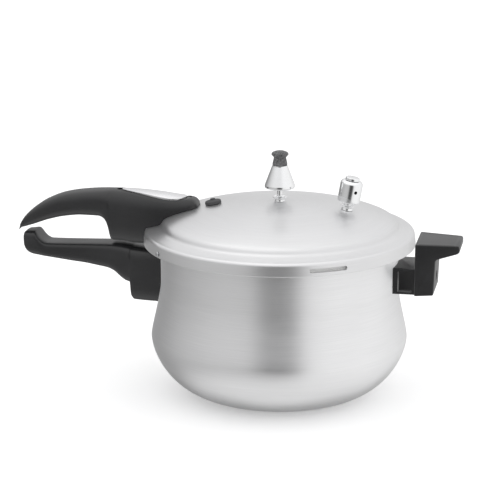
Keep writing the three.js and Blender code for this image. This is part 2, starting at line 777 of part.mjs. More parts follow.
/** Rounded window through the skirt, over the sealing ring. */
function windowTool() {
  const radius = WINDOW_HEIGHT / 2;
  const height = LID_EDGE + WINDOW_LIFT + radius;
  const inset = (radius / LID_RADIUS) * (180 / Math.PI);
  const from = WINDOW_FROM + inset;
  const to = WINDOW_TO - inset;
  const band = ring(SKIRT_INSIDE - 1, LID_RADIUS + 2, height - radius, height + radius, LARGE_SIDES);
  const middle = solid(band).intersect(
    solid(wedge((from + to) / 2, to - from, 2 * LID_RADIUS, LID_EDGE, FLANGE_TOP)),
  );
  const ends = [from, to].map((angle) =>
    crossRod(radius, SKIRT_INSIDE - 1, LID_RADIUS + 2, height, 12).rotateZ(radians(angle)),
  );
  return joined([middle, ...ends.map(solid)]);
}

function addLidShell(tools) {
  const inside = offset(LID_OUTLINE.slice(4), -WALL);
  const shell = revolve(
    [
      ...LID_OUTLINE,
      ...inside.reverse(),
      [SKIRT_INSIDE - SKIRT_FLARE, FLANGE_TOP - WALL],
      [SKIRT_INSIDE, LID_EDGE],
      LID_OUTLINE[0],
    ],
    LARGE_SIDES,
  );
  const lidLugs = lugs(LID_LUG_RADIUS, LID_RADIUS - WALL / 2, LID_EDGE, LID_EDGE + LID_LUG_THICKNESS);
  add("lid_shell", geometryOf(cut(solid(shell).add(lidLugs), tools)), "aluminium");
}

function addSealingRing() {
  const outside = SKIRT_INSIDE - SKIRT_FLARE - 2 * GAP;
  const inside = SKIRT_INSIDE - RING_INSIDE;
  const under = RIM_HEIGHT + GAP;
  const lipFoot = under - RING_LIP_DROP;
  const top = under + RING_HEIGHT;
  add(
    "sealing_ring",
    revolve(
      [
        [inside, under],
        [outside - RING_LIP, under],
        [outside - RING_LIP, lipFoot],
        [outside, lipFoot],
        [outside, top],
        [inside, top],
        [inside, under],
      ],
      LARGE_SIDES,
    ),
    "gasket",
  );
}

/** Small stud set in the skirt: head outside, flush inside. */
function addSkirtStud() {
  const group = new THREE.Group();
  const around = radians(STUD_ANGLE);
  const height = LID_EDGE + STUD_LIFT;
  group.position.set(SKIRT_INSIDE * Math.cos(around), SKIRT_INSIDE * Math.sin(around), height);
  group.rotation.set(0, Math.PI / 2, around, "ZYX");
  part.add(group);
  const stud = revolve([
    [0, GAP],
    [STUD_SHANK, GAP],
    [STUD_SHANK, WALL + GAP],
    [STUD_HEAD, WALL + GAP],
    [STUD_HEAD * 0.9, WALL + GAP + 0.5],
    [STUD_HEAD * 0.5, WALL + GAP + 0.9],
    [0, WALL + GAP + 1],
  ]);
  add("skirt_stud", stud, "steel", group);
  return placed(rod(STUD_SHANK + GAP, -1, WALL + 1), group);
}

/** Teardrop outline of the metal inlay, grown all round by a clearance. */
function inlayPrism(growth) {
  const half = [
    [22, 0],
    [20.6, 2.6],
    [16, 4.8],
    [7, 7.2],
    [-2, 9.1],
    [-10, 10.3],
    [-18, 10.9],
    [-25, 10.6],
    [-30.5, 8.8],
    [-34.6, 5.2],
    [-36.4, 0],
  ];
  const mirrored = half.slice(1, -1).reverse().map(([out, y]) => [out, -y]);
  const centre = LID_RADIUS - 6;
  const points = [...half, ...mirrored].map(([out, y]) => {
    const x = -(LID_RADIUS + out);
    const reach = Math.hypot(x + centre, y);
    const share = (reach + growth) / reach;
    return new THREE.Vector2(-centre + (x + centre) * share, y * share);
  });
  return new THREE.ExtrudeGeometry(new THREE.Shape(points), { depth: 60, bevelEnabled: false })
    .translate(0, 0, LID_EDGE + 10);
}

const INLAY_THICKNESS = 1.4;
const INLAY_PROUD = 0.4;

function addLidHandle(frontStation) {
  const rows = [
    [117.8, 0.2, 1.4, 2.5],
    [115.9, 2.2, 6.6, 6],
    [110.9, 3.9, 14.2, 9.5],
    [102, 6.9, 22.4, 12],
    [90, 11.3, 30.1, 13.5],
    [74, 15.3, 36.3, 14.3],
    [58, 17.1, 39.3, 14.8],
    [43, 16.9, 40.8, 15.2],
    [39.2, 15.7, 41, 15.4],
    [36, 12.6, 41.2, 15.6],
    [33.8, 7.4, 41.3, 15.8],
    [32.4, 1.8, 41.4, 16],
    [31.2, -4.2, 41.5, 16.1],
    [29, -4.9, 41.6, 16.3],
    [20, -5.2, 41.6, 17],
    [11, -6.6, 41.2, 17.6],
    [-3, -6.6, 40.4, 18],
    [-15, -6.6, 39.4, 17.6],
    [-27, 0, 38, 16.4],
    [-35, 6, 37.2, 14.8],
    [-41.6, 16, 36.5, 12.8],
    [-44.4, 21, 35.2, 11.4],
    [-46.2, 24, 33, 9.6],
    [-47.6, 26, 30, 6],
  ];
  const shape = solid(loft(stationsFromSkirt(rows), 2.6));
  const recess = solid(inlayPrism(GAP)).subtract(shape.translate([0, 0, -INLAY_THICKNESS - GAP]));
  const bolt = LID_RADIUS + LID_BRACKET.bolt;
  const floor = LID_HANDLE_UNDERSIDE + LID_BOLT_COUNTERBORE;
  const bores = [
    rod(SCREW_HEAD_RADIUS + GAP, LID_HANDLE_UNDERSIDE - 5, floor).translate(-bolt, 0, 0),
    rod(FASTENER_HOLE, floor - 1, LID_BRACKET.tongueTo + 8).translate(-bolt, 0, 0),
    placed(rod(FASTENER_HOLE, -5, FRONT_SCREW_DEPTH + GAP), frontStation),
    lidEnvelope(GAP),
    geometryOf(lidBracketBody(GAP)).rotateZ(Math.PI),
  ];
  add("lid_handle", geometryOf(cut(shape, [recess, ...bores.map(solid)])), "phenolic");
  const plate = solid(inlayPrism(0))
    .intersect(shape.translate([0, 0, INLAY_PROUD]))
    .subtract(shape.translate([0, 0, -INLAY_THICKNESS]));
  add("lid_handle_inlay", geometryOf(plate), "satin");
}

/** Strap, rear bolt and front screw that hold the lid handle. */
function addLidHandleFixings(frontStation) {
  const bolt = LID_RADIUS + LID_BRACKET.bolt;
  const hole = rod(FASTENER_HOLE, LID_EDGE, LID_EDGE + 20).translate(bolt, 0, 0);
  const strap = new THREE.Group();
  strap.rotation.z = Math.PI;
  part.add(strap);
  const body = lidBracketBody(0).subtract(solid(hole));
  add("lid_handle_bracket", geometryOf(body), "steel", strap);
  const rear = new THREE.Group();
  const floor = LID_HANDLE_UNDERSIDE + LID_BOLT_COUNTERBORE;
  rear.position.set(-bolt, 0, floor - 2 * GAP - WASHER_HEIGHT);
  part.add(rear);
  add("lid_handle_rear_screw", screw(LID_BRACKET.tongueTo + 5 - rear.position.z), "steel", rear);
  const washer = ring(FASTENER_HOLE, SCREW_HEAD_RADIUS, GAP, GAP + WASHER_HEIGHT);
  add("lid_handle_rear_washer", washer, "steel", rear);
  const seal = WALL + GAP + SEAL_WASHER_HEIGHT;
  const sealing = ring(FASTENER_HOLE, FRONT_WASHER_RADIUS, -seal, -WALL - GAP);
  add("lid_handle_seal_washer", sealing, "rubber", frontStation);
  const head = -seal - GAP;
  const front = screw(FRONT_SCREW_DEPTH - head).translate(0, 0, head);
  add("lid_handle_front_screw", front, "steel", frontStation);
}

// ---------------------------------------------------------------- vent tube and weight

function addVent() {
  const group = new THREE.Group();
  group.position.z = DOME_TOP;
  part.add(group);
  const seal = WALL + GAP + SEAL_WASHER_HEIGHT;
  const foot = -seal - GAP - NUT_HEIGHT - 2;
  const collarFoot = GAP + COLLAR_FOOT_HEIGHT;
  const collarTop = collarFoot + VENT_COLLAR_HEIGHT;
  const tube = revolve([
    [VENT_BORE, foot],
    [VENT_THREAD, foot],
    [VENT_THREAD, GAP],
    [VENT_THREAD + COLLAR_FOOT_WIDTH, GAP],
    [VENT_THREAD + COLLAR_FOOT_WIDTH, collarFoot],
    [VENT_COLLAR_RADIUS, collarFoot],
    [VENT_COLLAR_RADIUS, collarTop],
    [VENT_TUBE_RADIUS + 1, collarTop + 0.6],
    [VENT_TUBE_RADIUS, collarTop + 2],
    [VENT_TUBE_RADIUS, VENT_TUBE_LENGTH],
    [VENT_BORE, VENT_TUBE_LENGTH],
    [VENT_BORE, foot],
  ]);
  add("vent_tube", tube, "chrome", group);
  const hole = VENT_THREAD + GAP;
  const washer = ring(hole, VENT_NUT_RADIUS, -seal, -WALL - GAP);
  add("vent_seal_washer", washer, "rubber", group);
  const nut = hexNut(hole, VENT_NUT_RADIUS, -seal - GAP - NUT_HEIGHT, -seal - GAP);
  add("vent_nut", nut, "steel", group);
  return placed(rod(hole, -10, 10), group);
}

function addWeight() {
  const group = new THREE.Group();
  group.position.z = DOME_TOP + WEIGHT_LIFT;
  part.add(group);
  const socket = VENT_TUBE_RADIUS + 0.5;
  const bore = SPINDLE_RADIUS + GAP;
  const rounding = 2;
  const body = revolve([
    [socket, 0],
    ...arc([WEIGHT_RADIUS - rounding, rounding], rounding, -90, 0),
    [WEIGHT_TOP_RADIUS, WEIGHT_HEIGHT - 0.4],
    [WEIGHT_TOP_RADIUS - 0.4, WEIGHT_HEIGHT],
    [bore, WEIGHT_HEIGHT],
    [bore, WEIGHT_SOCKET_DEPTH],
    [socket, WEIGHT_SOCKET_DEPTH],
    [socket, 0],
  ]);
  add("weight_body", body, "chrome", group);
  const tubeTop = VENT_TUBE_LENGTH - WEIGHT_LIFT;
  const spindleTop = WEIGHT_HEIGHT + KNOB_HEIGHT * 0.42;
  const spindle = revolve([
    [0, tubeTop - 1],
    [VENT_BORE * 0.5, tubeTop - 0.2],
    [VENT_BORE * 0.6, tubeTop + GAP],
    [SPINDLE_RADIUS + 0.8, tubeTop + GAP],
    [SPINDLE_RADIUS + 0.8, WEIGHT_SOCKET_DEPTH - GAP],
    [SPINDLE_RADIUS, WEIGHT_SOCKET_DEPTH - GAP],
    [SPINDLE_RADIUS, spindleTop],
    [0, spindleTop],
  ]);
  add("weight_spindle", spindle, "steel", group);
  const foot = WEIGHT_HEIGHT + GAP;
  const top = WEIGHT_HEIGHT + KNOB_HEIGHT;
  const knob = revolve([
    [0, spindleTop + GAP],
    [bore, spindleTop + GAP],
    [bore, foot],
    [WEIGHT_TOP_RADIUS - 0.3, foot],
    [KNOB_WAIST + 0.5, foot + 4],
    [KNOB_WAIST, top - 6.2],
    [KNOB_WAIST + 0.9, top - 5],
    [KNOB_CROWN, top - 3.4],
    [KNOB_CROWN, top - 2.4],
    [KNOB_CROWN - 1.4, top - 1.1],
    [KNOB_CROWN * 0.5, top - 0.3],
    [0, top],
  ]);
  add("weight_knob", knob, "knob", group);
}

// ---------------------------------------------------------------- relief valve

/** Centre line of a coil spring about +Z. */
class Helix extends THREE.Curve {
  constructor(radius, from, to, turns) {
    super();
    Object.assign(this, { radius, from, to, turns });
  }

  getPoint(t, target = new THREE.Vector3()) {
    const angle = 2 * Math.PI * this.turns * t;
    const height = this.from + (this.to - this.from) * t;
    return target.set(this.radius * Math.cos(angle), this.radius * Math.sin(angle), height);
  }
}

/** Round wire along a helix. */
function coilSpring(radius, wire, from, to, turns) {
  const path = new Helix(radius, from + wire + GAP, to - wire - GAP, turns);
  const section = new THREE.Shape().absarc(0, 0, wire, 0, 2 * Math.PI);
  const steps = turns * 9;
  return new THREE.ExtrudeGeometry(section, {
    steps,
    curveSegments: 3,
    extrudePath: path,
    bevelEnabled: false,
  });
}

function addReliefValve() {
  const station = lidStation(VALVE_RADIUS, 1);
  const seal = WALL + GAP + SEAL_WASHER_HEIGHT;
  const foot = -seal - GAP - NUT_HEIGHT - 1;
  const collarFoot = GAP + COLLAR_FOOT_HEIGHT;
  const collarTop = collarFoot + RELIEF_COLLAR_HEIGHT;
  const stem = revolve([
    [RELIEF_BORE, foot],
    [RELIEF_THREAD, foot],
    [RELIEF_THREAD, GAP],
    [RELIEF_THREAD + COLLAR_FOOT_WIDTH, GAP],
    [RELIEF_THREAD + COLLAR_FOOT_WIDTH, collarFoot],
    [RELIEF_COLLAR_RADIUS, collarFoot],
    [RELIEF_COLLAR_RADIUS, collarTop],
    [RELIEF_STEM, collarTop],
    [RELIEF_STEM, RELIEF_SEAT],
    [RELIEF_BORE, RELIEF_SEAT],
    [RELIEF_BORE, foot],
  ]);
  add("relief_stem", stem, "chrome", station);
  const hole = RELIEF_THREAD + GAP;
  const washer = ring(hole, RELIEF_NUT_RADIUS, -seal, -WALL - GAP);
  add("relief_seal_washer", washer, "rubber", station);
  const nut = hexNut(hole, RELIEF_NUT_RADIUS, -seal - GAP - NUT_HEIGHT, -seal - GAP);
  add("relief_nut", nut, "steel", station);

  const low = RELIEF_HOUSING_LIFT;
  const high = low + RELIEF_HOUSING_HEIGHT;
  const outer = RELIEF_HOUSING_RADIUS;
  const inner = outer - RELIEF_HOUSING_WALL;
  const neck = RELIEF_STEM + GAP;
  const studHole = RELIEF_STUD + GAP;
  const housing = solid(
    revolve([
      [neck, low],
      [outer - 0.5, low],
      [outer, low + 0.5],
      ...arc([outer - RELIEF_SHOULDER, high - RELIEF_SHOULDER], RELIEF_SHOULDER, 0, 90),
      [studHole, high],
      [studHole, high - RELIEF_HOUSING_WALL],
      [inner - 1.5, high - RELIEF_HOUSING_WALL],
      [inner, high - RELIEF_HOUSING_WALL - 1.5],
      [inner, low + RELIEF_HOUSING_WALL],
      [neck, low + RELIEF_HOUSING_WALL],
      [neck, low],
    ]),
  );
  const steamHole = crossRod(STEAM_HOLE_RADIUS, 0, outer + 2, low + STEAM_HOLE_LIFT, 10);
  steamHole.rotateZ(radians(STEAM_HOLE_ANGLE));
  add("relief_housing", geometryOf(housing.subtract(solid(steamHole))), "chrome", station);

  const capFoot = high + GAP;
  const cap = revolve([
    [0, capFoot - RELIEF_STUD_LENGTH],
    [RELIEF_STUD, capFoot - RELIEF_STUD_LENGTH],
    [RELIEF_STUD, capFoot],
    [RELIEF_CAP_RADIUS, capFoot],
    [RELIEF_CAP_RADIUS, capFoot + RELIEF_CAP_HEIGHT - 0.5],
    [RELIEF_CAP_RADIUS - 0.6, capFoot + RELIEF_CAP_HEIGHT],
    [0, capFoot + RELIEF_CAP_HEIGHT],
  ]);
  add("relief_cap", cap, "chrome", station);

  const poppetFoot = RELIEF_SEAT + GAP;
  const poppetTop = poppetFoot + POPPET_HEIGHT;
  const poppet = revolve([
    [0, RELIEF_SEAT - 0.9],
    [RELIEF_BORE - 0.6, RELIEF_SEAT],
    [RELIEF_BORE - 0.5, poppetFoot],
    [POPPET_RADIUS, poppetFoot],
    [POPPET_RADIUS, poppetTop],
    [RELIEF_STUD - 1, poppetTop],
    [RELIEF_STUD - 1, poppetTop + 5],
    [0, poppetTop + 5],
  ]);
  add("relief_poppet", poppet, "steel", station);
  const seatTop = high - RELIEF_HOUSING_WALL;
  const spring = coilSpring(SPRING_RADIUS, SPRING_WIRE, poppetTop, seatTop, SPRING_COILS);
  add("relief_spring", spring, "steel", station);
  return placed(rod(hole, -10, 10), station);
}

// ---------------------------------------------------------------- safety plug

function addSafetyPlug() {
  const station = lidStation(VALVE_RADIUS, -1);
  const lip = PLUG_RADIUS - 0.7;
  const under = -WALL - GAP;
  const plug = revolve([
    [0, under - 2],
    [lip - 1, under - 2],
    [lip, under - 1],
    [lip, under],
    [PLUG_NECK, under],
    [PLUG_NECK, GAP],
    [PLUG_RADIUS, GAP],
    [PLUG_RADIUS, GAP + PLUG_HEIGHT * 0.5],
    [PLUG_RADIUS - 1, GAP + PLUG_HEIGHT * 0.9],
    [PLUG_NUB_RADIUS + 0.3, GAP + PLUG_HEIGHT],
    [PLUG_NUB_RADIUS, GAP + PLUG_HEIGHT + PLUG_NUB_HEIGHT * 0.7],
    [PLUG_NUB_RADIUS * 0.5, GAP + PLUG_HEIGHT + PLUG_NUB_HEIGHT],
    [0, GAP + PLUG_HEIGHT + PLUG_NUB_HEIGHT],
  ]);
  add("safety_plug", plug, "rubber", station);
  return placed(rod(PLUG_NECK + GAP, -10, 10), station);
}

// ---------------------------------------------------------------- assembly

addPot();
addPotHandle();
addHelperHandle();

const frontStation = lidStation(LID_RADIUS - FRONT_SCREW_INSET, -1);
addLidHandle(frontStation);
addLidHandleFixings(frontStation);
const lidHoles = [
  addVent(),
  addReliefValve(),
  addSafetyPlug(),
  addSkirtStud(),
  placed(rod(FASTENER_HOLE, -10, 3), frontStation),
];
addLidShell([...lidHoles.map(solid), windowTool()]);
addSealingRing();
addWeight();

export default part;
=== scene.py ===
"""Looks of a stovetop pressure cooker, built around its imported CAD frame.

The cooker stands on its base at the origin, +Z up, long handles along -X, helper handle along +X.
Sizes in the classes are millimetres; meshes are written in metres.
"""

import json
import logging
import math
from dataclasses import dataclass, field
from enum import Enum
from typing import Any, Iterable, Optional, Sequence, Union

import bpy
from mathutils import Matrix, Vector

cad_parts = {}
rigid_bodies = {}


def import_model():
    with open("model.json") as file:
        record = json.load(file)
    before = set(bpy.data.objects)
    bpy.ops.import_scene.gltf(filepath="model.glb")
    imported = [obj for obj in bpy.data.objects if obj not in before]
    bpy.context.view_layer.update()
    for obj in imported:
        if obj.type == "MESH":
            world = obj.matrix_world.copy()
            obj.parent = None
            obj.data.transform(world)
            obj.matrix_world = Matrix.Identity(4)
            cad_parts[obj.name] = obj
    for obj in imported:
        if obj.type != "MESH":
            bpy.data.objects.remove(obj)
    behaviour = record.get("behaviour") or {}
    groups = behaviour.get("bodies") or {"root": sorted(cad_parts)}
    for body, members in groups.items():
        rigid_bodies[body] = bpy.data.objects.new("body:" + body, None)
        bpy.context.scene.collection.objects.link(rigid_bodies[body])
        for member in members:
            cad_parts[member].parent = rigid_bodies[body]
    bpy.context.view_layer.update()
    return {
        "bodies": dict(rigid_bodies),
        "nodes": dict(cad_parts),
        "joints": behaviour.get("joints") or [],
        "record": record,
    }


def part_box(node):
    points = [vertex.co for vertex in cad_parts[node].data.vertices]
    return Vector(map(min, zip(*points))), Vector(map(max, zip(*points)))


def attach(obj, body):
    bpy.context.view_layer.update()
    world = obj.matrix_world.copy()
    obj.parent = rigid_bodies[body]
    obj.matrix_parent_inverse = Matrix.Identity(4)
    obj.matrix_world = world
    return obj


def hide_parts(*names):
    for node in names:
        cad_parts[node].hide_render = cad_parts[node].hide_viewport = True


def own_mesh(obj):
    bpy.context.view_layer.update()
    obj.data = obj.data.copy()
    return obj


LOG = logging.getLogger("pressure_cooker")
MM = 0.001

Pair = tuple[float, ...]
Profile = list[Pair]
Number = Union[int, float]


class Body(Enum):
    """Rigid bodies of the cooker, by their names in the frame."""

    POT = "pot"
    RING = "ring"
    LID = "lid"
    WEIGHT = "weight"
    POPPET = "poppet"


# ------------------------------------------------------------------ shader graphs


class Wire:
    """A socket of a shader graph that takes part in arithmetic."""

    def __init__(self, graph: "Graph", socket: bpy.types.NodeSocket) -> None:
        """Keeps the graph and the output socket."""
        self.graph = graph
        self.socket = socket

    def _with(self, operation: str, *values: Any) -> "Wire":
        """Adds one Math node.

        Args:
            operation: The Math node's operation.
            values: Its inputs in order.

        Returns:
            The node's result.
        """
        return self.graph.node("ShaderNodeMath", {"operation": operation}, dict(enumerate(values)))

    def __add__(self, other: Any) -> "Wire":
        """Sum."""
        return self._with("ADD", self, other)

    __radd__ = __add__

    def __mul__(self, other: Any) -> "Wire":
        """Product."""
        return self._with("MULTIPLY", self, other)

    __rmul__ = __mul__

    def __sub__(self, other: Any) -> "Wire":
        """Difference."""
        return self._with("SUBTRACT", self, other)

    def __rsub__(self, other: Any) -> "Wire":
        """Difference from a number."""
        return self._with("SUBTRACT", other, self)

    def root(self) -> "Wire":
        """Square root."""
        return self._with("SQRT", self)

    def angle(self, other: "Wire") -> "Wire":
        """Angle of the direction whose sine part is this wire and cosine part the other."""
        return self._with("ARCTAN2", self, other)

    def spread(self, low: Number, high: Number, out_low: Number, out_high: Number) -> "Wire":
        """Maps one range to another, clamped and smooth.

        Args:
            low: Value that gives out_low.
            high: Value that gives out_high.
            out_low: First result.
            out_high: Last result.

        Returns:
            The mapped value.
        """
        return self.graph.node(
            "ShaderNodeMapRange", {"interpolation_type": "SMOOTHSTEP"},
            {0: self, 1: low, 2: high, 3: out_low, 4: out_high}
        )


class Graph:
    """Node tree of one material or of the world."""

    def __init__(self, tree: bpy.types.NodeTree) -> None:
        """Empties the tree."""
        self.tree = tree
        tree.nodes.clear()

    def node(
        self, kind: str, settings: Optional[dict[str, Any]] = None,
        inputs: Optional[dict[Union[int, str], Any]] = None, output: Union[int, str] = 0
    ) -> Wire:
        """Adds a node.

        Args:
            kind: Node type.
            settings: Attributes, and "stops" for a ramp; they are set first.
            inputs: Values or wires of its sockets, by name or place.
            output: Which output the wire is for.

        Returns:
            The output as a wire.
        """
        made = self.tree.nodes.new(kind)
        for key, value in (settings or {}).items():
            if key == "stops":
                self._stops(made.color_ramp, value)
            else:
                setattr(made, key, value)
        for key, value in (inputs or {}).items():
            if isinstance(value, Wire):
                self.tree.links.new(value.socket, made.inputs[key])
            else:
                made.inputs[key].default_value = value
        return Wire(self, made.outputs[output] if made.outputs else None)

    @staticmethod
    def _stops(ramp: bpy.types.ColorRamp, stops: Sequence[tuple[float, Number]]) -> None:
        """Sets the grey stops of a ramp from (place, brightness) pairs."""
        while len(ramp.elements) < len(stops):
            ramp.elements.new(1.0)
        for element, (place, grey) in zip(ramp.elements, stops):
            element.position = place
            element.color = (grey, grey, grey, 1.0)

    def place(self) -> Wire:
        """Position on the object in metres."""
        return self.node("ShaderNodeTexCoord", output="Object")

    def split(self, vector: Wire) -> tuple[Wire, Wire, Wire]:
        """The three parts of a vector."""
        first = self.node("ShaderNodeSeparateXYZ", inputs={0: vector})
        outputs = first.socket.node.outputs
        return first, Wire(self, outputs[1]), Wire(self, outputs[2])

    def vector(self, x: Any, y: Any, z: Any) -> Wire:
        """A vector from three parts."""
        return self.node("ShaderNodeCombineXYZ", inputs={0: x, 1: y, 2: z})

    def noise(self, where: Wire, scale: Number, detail: Number = 2.0) -> Wire:
        """Cloudy noise around 0.5."""
        inputs = {"Vector": where, "Scale": scale, "Detail": detail}
        return self.node("ShaderNodeTexNoise", inputs=inputs)

    def mix(self, factor: Any, first: Any, second: Any) -> Wire:
        """Colour between two colours."""
        return self.node(
            "ShaderNodeMix", {"data_type": "RGBA"}, {0: factor, 6: first, 7: second}, output=2
        )

    def bump(self, height: Wire, depth: Number, strength: Number = 1.0) -> Wire:
        """Normal from a height between 0 and 1, its full depth in millimetres."""
        inputs = {"Height": height, "Distance": depth * MM, "Strength": strength}
        return self.node("ShaderNodeBump", inputs=inputs)


def rgba(colour: Sequence[float]) -> tuple[float, float, float, float]:
    """An opaque colour."""
    return (colour[0], colour[1], colour[2], 1.0)


def shaded(colour: Sequence[float], share: float) -> tuple[float, float, float, float]:
    """A colour made brighter or darker."""
    return rgba([min(1.0, part * share) for part in colour])


# ------------------------------------------------------------------ finishes


@dataclass(frozen=True)
class Finish:
    """A surface: what all finishes share."""

    name: str
    slot: str
    colour: tuple[float, float, float]
    metallic: float = 0.0
    roughness: float = 0.4

    def fixed(self) -> dict[str, Number]:
        """Values that are the same all over, set on the shader's own sockets."""
        return {}

    def varied(self, graph: Graph) -> dict[str, Wire]:
        """Wires for what changes over the surface."""
        raise NotImplementedError

    def material(self) -> bpy.types.Material:
        """The finish as a material, made once."""
        known = bpy.data.materials.get(self.name)
        if known is not None:
            return known
        made = bpy.data.materials.new(self.name)
        made.use_nodes = True
        graph = Graph(made.node_tree)
        inputs: dict[str, Any] = {
            "Base Color": rgba(self.colour), "Metallic": self.metallic, "Roughness": self.roughness,
            **self.fixed(), **self.varied(graph)
        }
        surface = graph.node("ShaderNodeBsdfPrincipled", inputs=inputs)
        graph.node("ShaderNodeOutputMaterial", inputs={"Surface": surface})
        return made


@dataclass(frozen=True)
class SpunAluminium(Finish):
    """Satin aluminium turned on a lathe, with rings round the Z axis."""

    metallic: float = 0.86
    roughness: float = 0.34
    anisotropy: float = 0.55
    climb: float = 1.0
    line: float = 0.45
    band: float = 7.0
    groove: float = 0.012

    def fixed(self) -> dict[str, Number]:
        """Reflections are drawn out across the rings."""
        return {"Anisotropic": self.anisotropy, "Anisotropic Rotation": 0.25}

    def varied(self, graph: Graph) -> dict[str, Wire]:
        """Fine rings, wider tool bands, faint clouds and stray rubs."""
        where = graph.place()
        x, y, z = graph.split(where)
        radius = (x * x + y * y).root()
        along = radius + z * self.climb
        turn = y.angle(x)
        lines = graph.noise(graph.vector(along, turn * 0.0012, 0.0), 1 / (self.line * MM), 3)
        bands = graph.noise(graph.vector(along, turn * 0.004, 0.0), 1 / (self.band * MM), 1)
        clouds = graph.noise(where, 9.0, 3)
        rubs = graph.noise(graph.vector(along * 0.2, turn * 0.02, z), 90.0, 4)
        tone = lines * 0.45 + bands * 0.15 + clouds * 0.4
        colour = graph.mix(
            tone.spread(0.3, 0.7, 0.0, 1.0), shaded(self.colour, 0.95), shaded(self.colour, 1.04)
        )
        rough = self.roughness + (lines - 0.5) * 0.10 + (rubs - 0.5) * 0.08
        return {
            "Base Color": colour, "Roughness": rough,
            "Normal": graph.bump(lines * 0.92 + bands * 0.08, self.groove)
        }


@dataclass(frozen=True)
class Chrome(Finish):
    """Polished plate with faint wiping marks."""

    metallic: float = 1.0
    roughness: float = 0.07

    def varied(self, graph: Graph) -> dict[str, Wire]:
        """Smears in the gloss and a hardly visible orange peel."""
        where = graph.place()
        smears = graph.noise(where, 260.0, 4)
        peel = graph.noise(where, 900.0, 2)
        return {
            "Base Color": graph.mix(smears, shaded(self.colour, 0.95), shaded(self.colour, 1.03)),
            "Roughness": self.roughness + smears.spread(0.45, 0.75, 0.0, 0.07),
            "Normal": graph.bump(peel, 0.004),
        }


@dataclass(frozen=True)
class PlatedSteel(Finish):
    """Zinc plated steel or upset aluminium: mottled and a little dull."""

    metallic: float = 1.0
    roughness: float = 0.34

    def varied(self, graph: Graph) -> dict[str, Wire]:
        """Grains of plating and handling marks."""
        where = graph.place()
        grains = graph.noise(where, 1400.0, 3)
        marks = graph.noise(where, 190.0, 4)
        return {
            "Base Color": graph.mix(marks, shaded(self.colour, 0.82), shaded(self.colour, 1.08)),
            "Roughness": self.roughness + (grains - 0.5) * 0.2 + (marks - 0.5) * 0.2,
            "Normal": graph.bump(grains, 0.01),
        }


@dataclass(frozen=True)
class GrainedSheet(Finish):
    """Stainless sheet with a fine grain along X."""

    metallic: float = 1.0
    roughness: float = 0.3
    length: float = 12.0
    width: float = 0.16

    def varied(self, graph: Graph) -> dict[str, Wire]:
        """Long thin scratches of the grain."""
        x, y, _ = graph.split(graph.place())
        grain = graph.noise(
            graph.vector(x * (self.width / self.length), y, 0.0), 1 / (self.width * MM), 3
        )
        soft = graph.noise(graph.vector(x * 0.2, y, 0.0), 240.0, 2)
        tone = grain * 0.6 + soft * 0.4
        return {
            "Base Color": graph.mix(tone, shaded(self.colour, 0.86), shaded(self.colour, 1.1)),
            "Roughness": self.roughness + (grain - 0.5) * 0.25, "Normal": graph.bump(grain, 0.01)
        }


@dataclass(frozen=True)
class Moulded(Finish):
    """Moulded phenolic or rubber: fine speckle, flow marks and handling sheen."""

    roughness: float = 0.42
    speckle: float = 0.45
    pit: float = 0.03
    spread: float = 0.35
    specular: float = 0.5

    def fixed(self) -> dict[str, Number]:
        """Strength of the plain gloss."""
        return {"Specular IOR Level": self.specular}

    def varied(self, graph: Graph) -> dict[str, Wire]:
        """Speckle in colour and height, slow changes of gloss."""
        where = graph.place()
        x, _, z = graph.split(where)
        fine = graph.noise(where, 1 / (self.speckle * MM), 3)
        flow = graph.noise(graph.vector(x * 0.35, z, 0.0), 60.0, 3)
        touch = graph.noise(where, 28.0, 2)
        tone = fine * 0.6 + flow * 0.4
        low = shaded(self.colour, 1.0 - self.spread)
        high = shaded(self.colour, 1.0 + self.spread)
        return {
            "Base Color": graph.mix(tone.spread(0.3, 0.7, 0.0, 1.0), low, high),
            "Roughness": self.roughness + (touch - 0.5) * 0.16 + (fine - 0.5) * 0.12,
            "Normal": graph.bump(fine * 0.8 + flow * 0.2, self.pit),
        }


@dataclass(frozen=True)
class Paper(Finish):
    """Pale studio floor with a hardly visible tooth and a painted glow that is absent near the pot, so a
    painted shadow rings its base.
    """

    roughness: float = 0.9
    # Painted light: the floor glows with the given strength, not at all within the first radius (a painted
    # shadow round the pot's base), and fully beyond the second.
    glow: float = 0.2
    painted_glow_from: float = 48.0
    painted_glow_full: float = 92.0

    def fixed(self) -> dict[str, Number]:
        """Full strength for the painted glow that varies."""
        return {"Emission Strength": 1.0}

    def varied(self, graph: Graph) -> dict[str, Wire]:
        """A slow change of tone, a fine tooth, and a painted glow that fades to nothing near the pot,
        painting a shadow round its base.
        """
        where = graph.place()
        tone = graph.noise(where, 1.5, 2)
        tooth = graph.noise(where, 900.0, 2)
        x, y, _ = graph.split(where)
        # Painted shadow round the pot: no glow near its base, full painted glow further out.
        away = (x * x + y * y).root().spread(self.painted_glow_from * MM, self.painted_glow_full * MM, 0, 1)
        return {
            "Base Color": graph.mix(tone, shaded(self.colour, 0.995), shaded(self.colour, 1.0)),
            "Emission Color": graph.mix(away, rgba((0.0,) * 3), rgba((self.glow,) * 3)),
            "Normal": graph.bump(tooth, 0.02),
        }


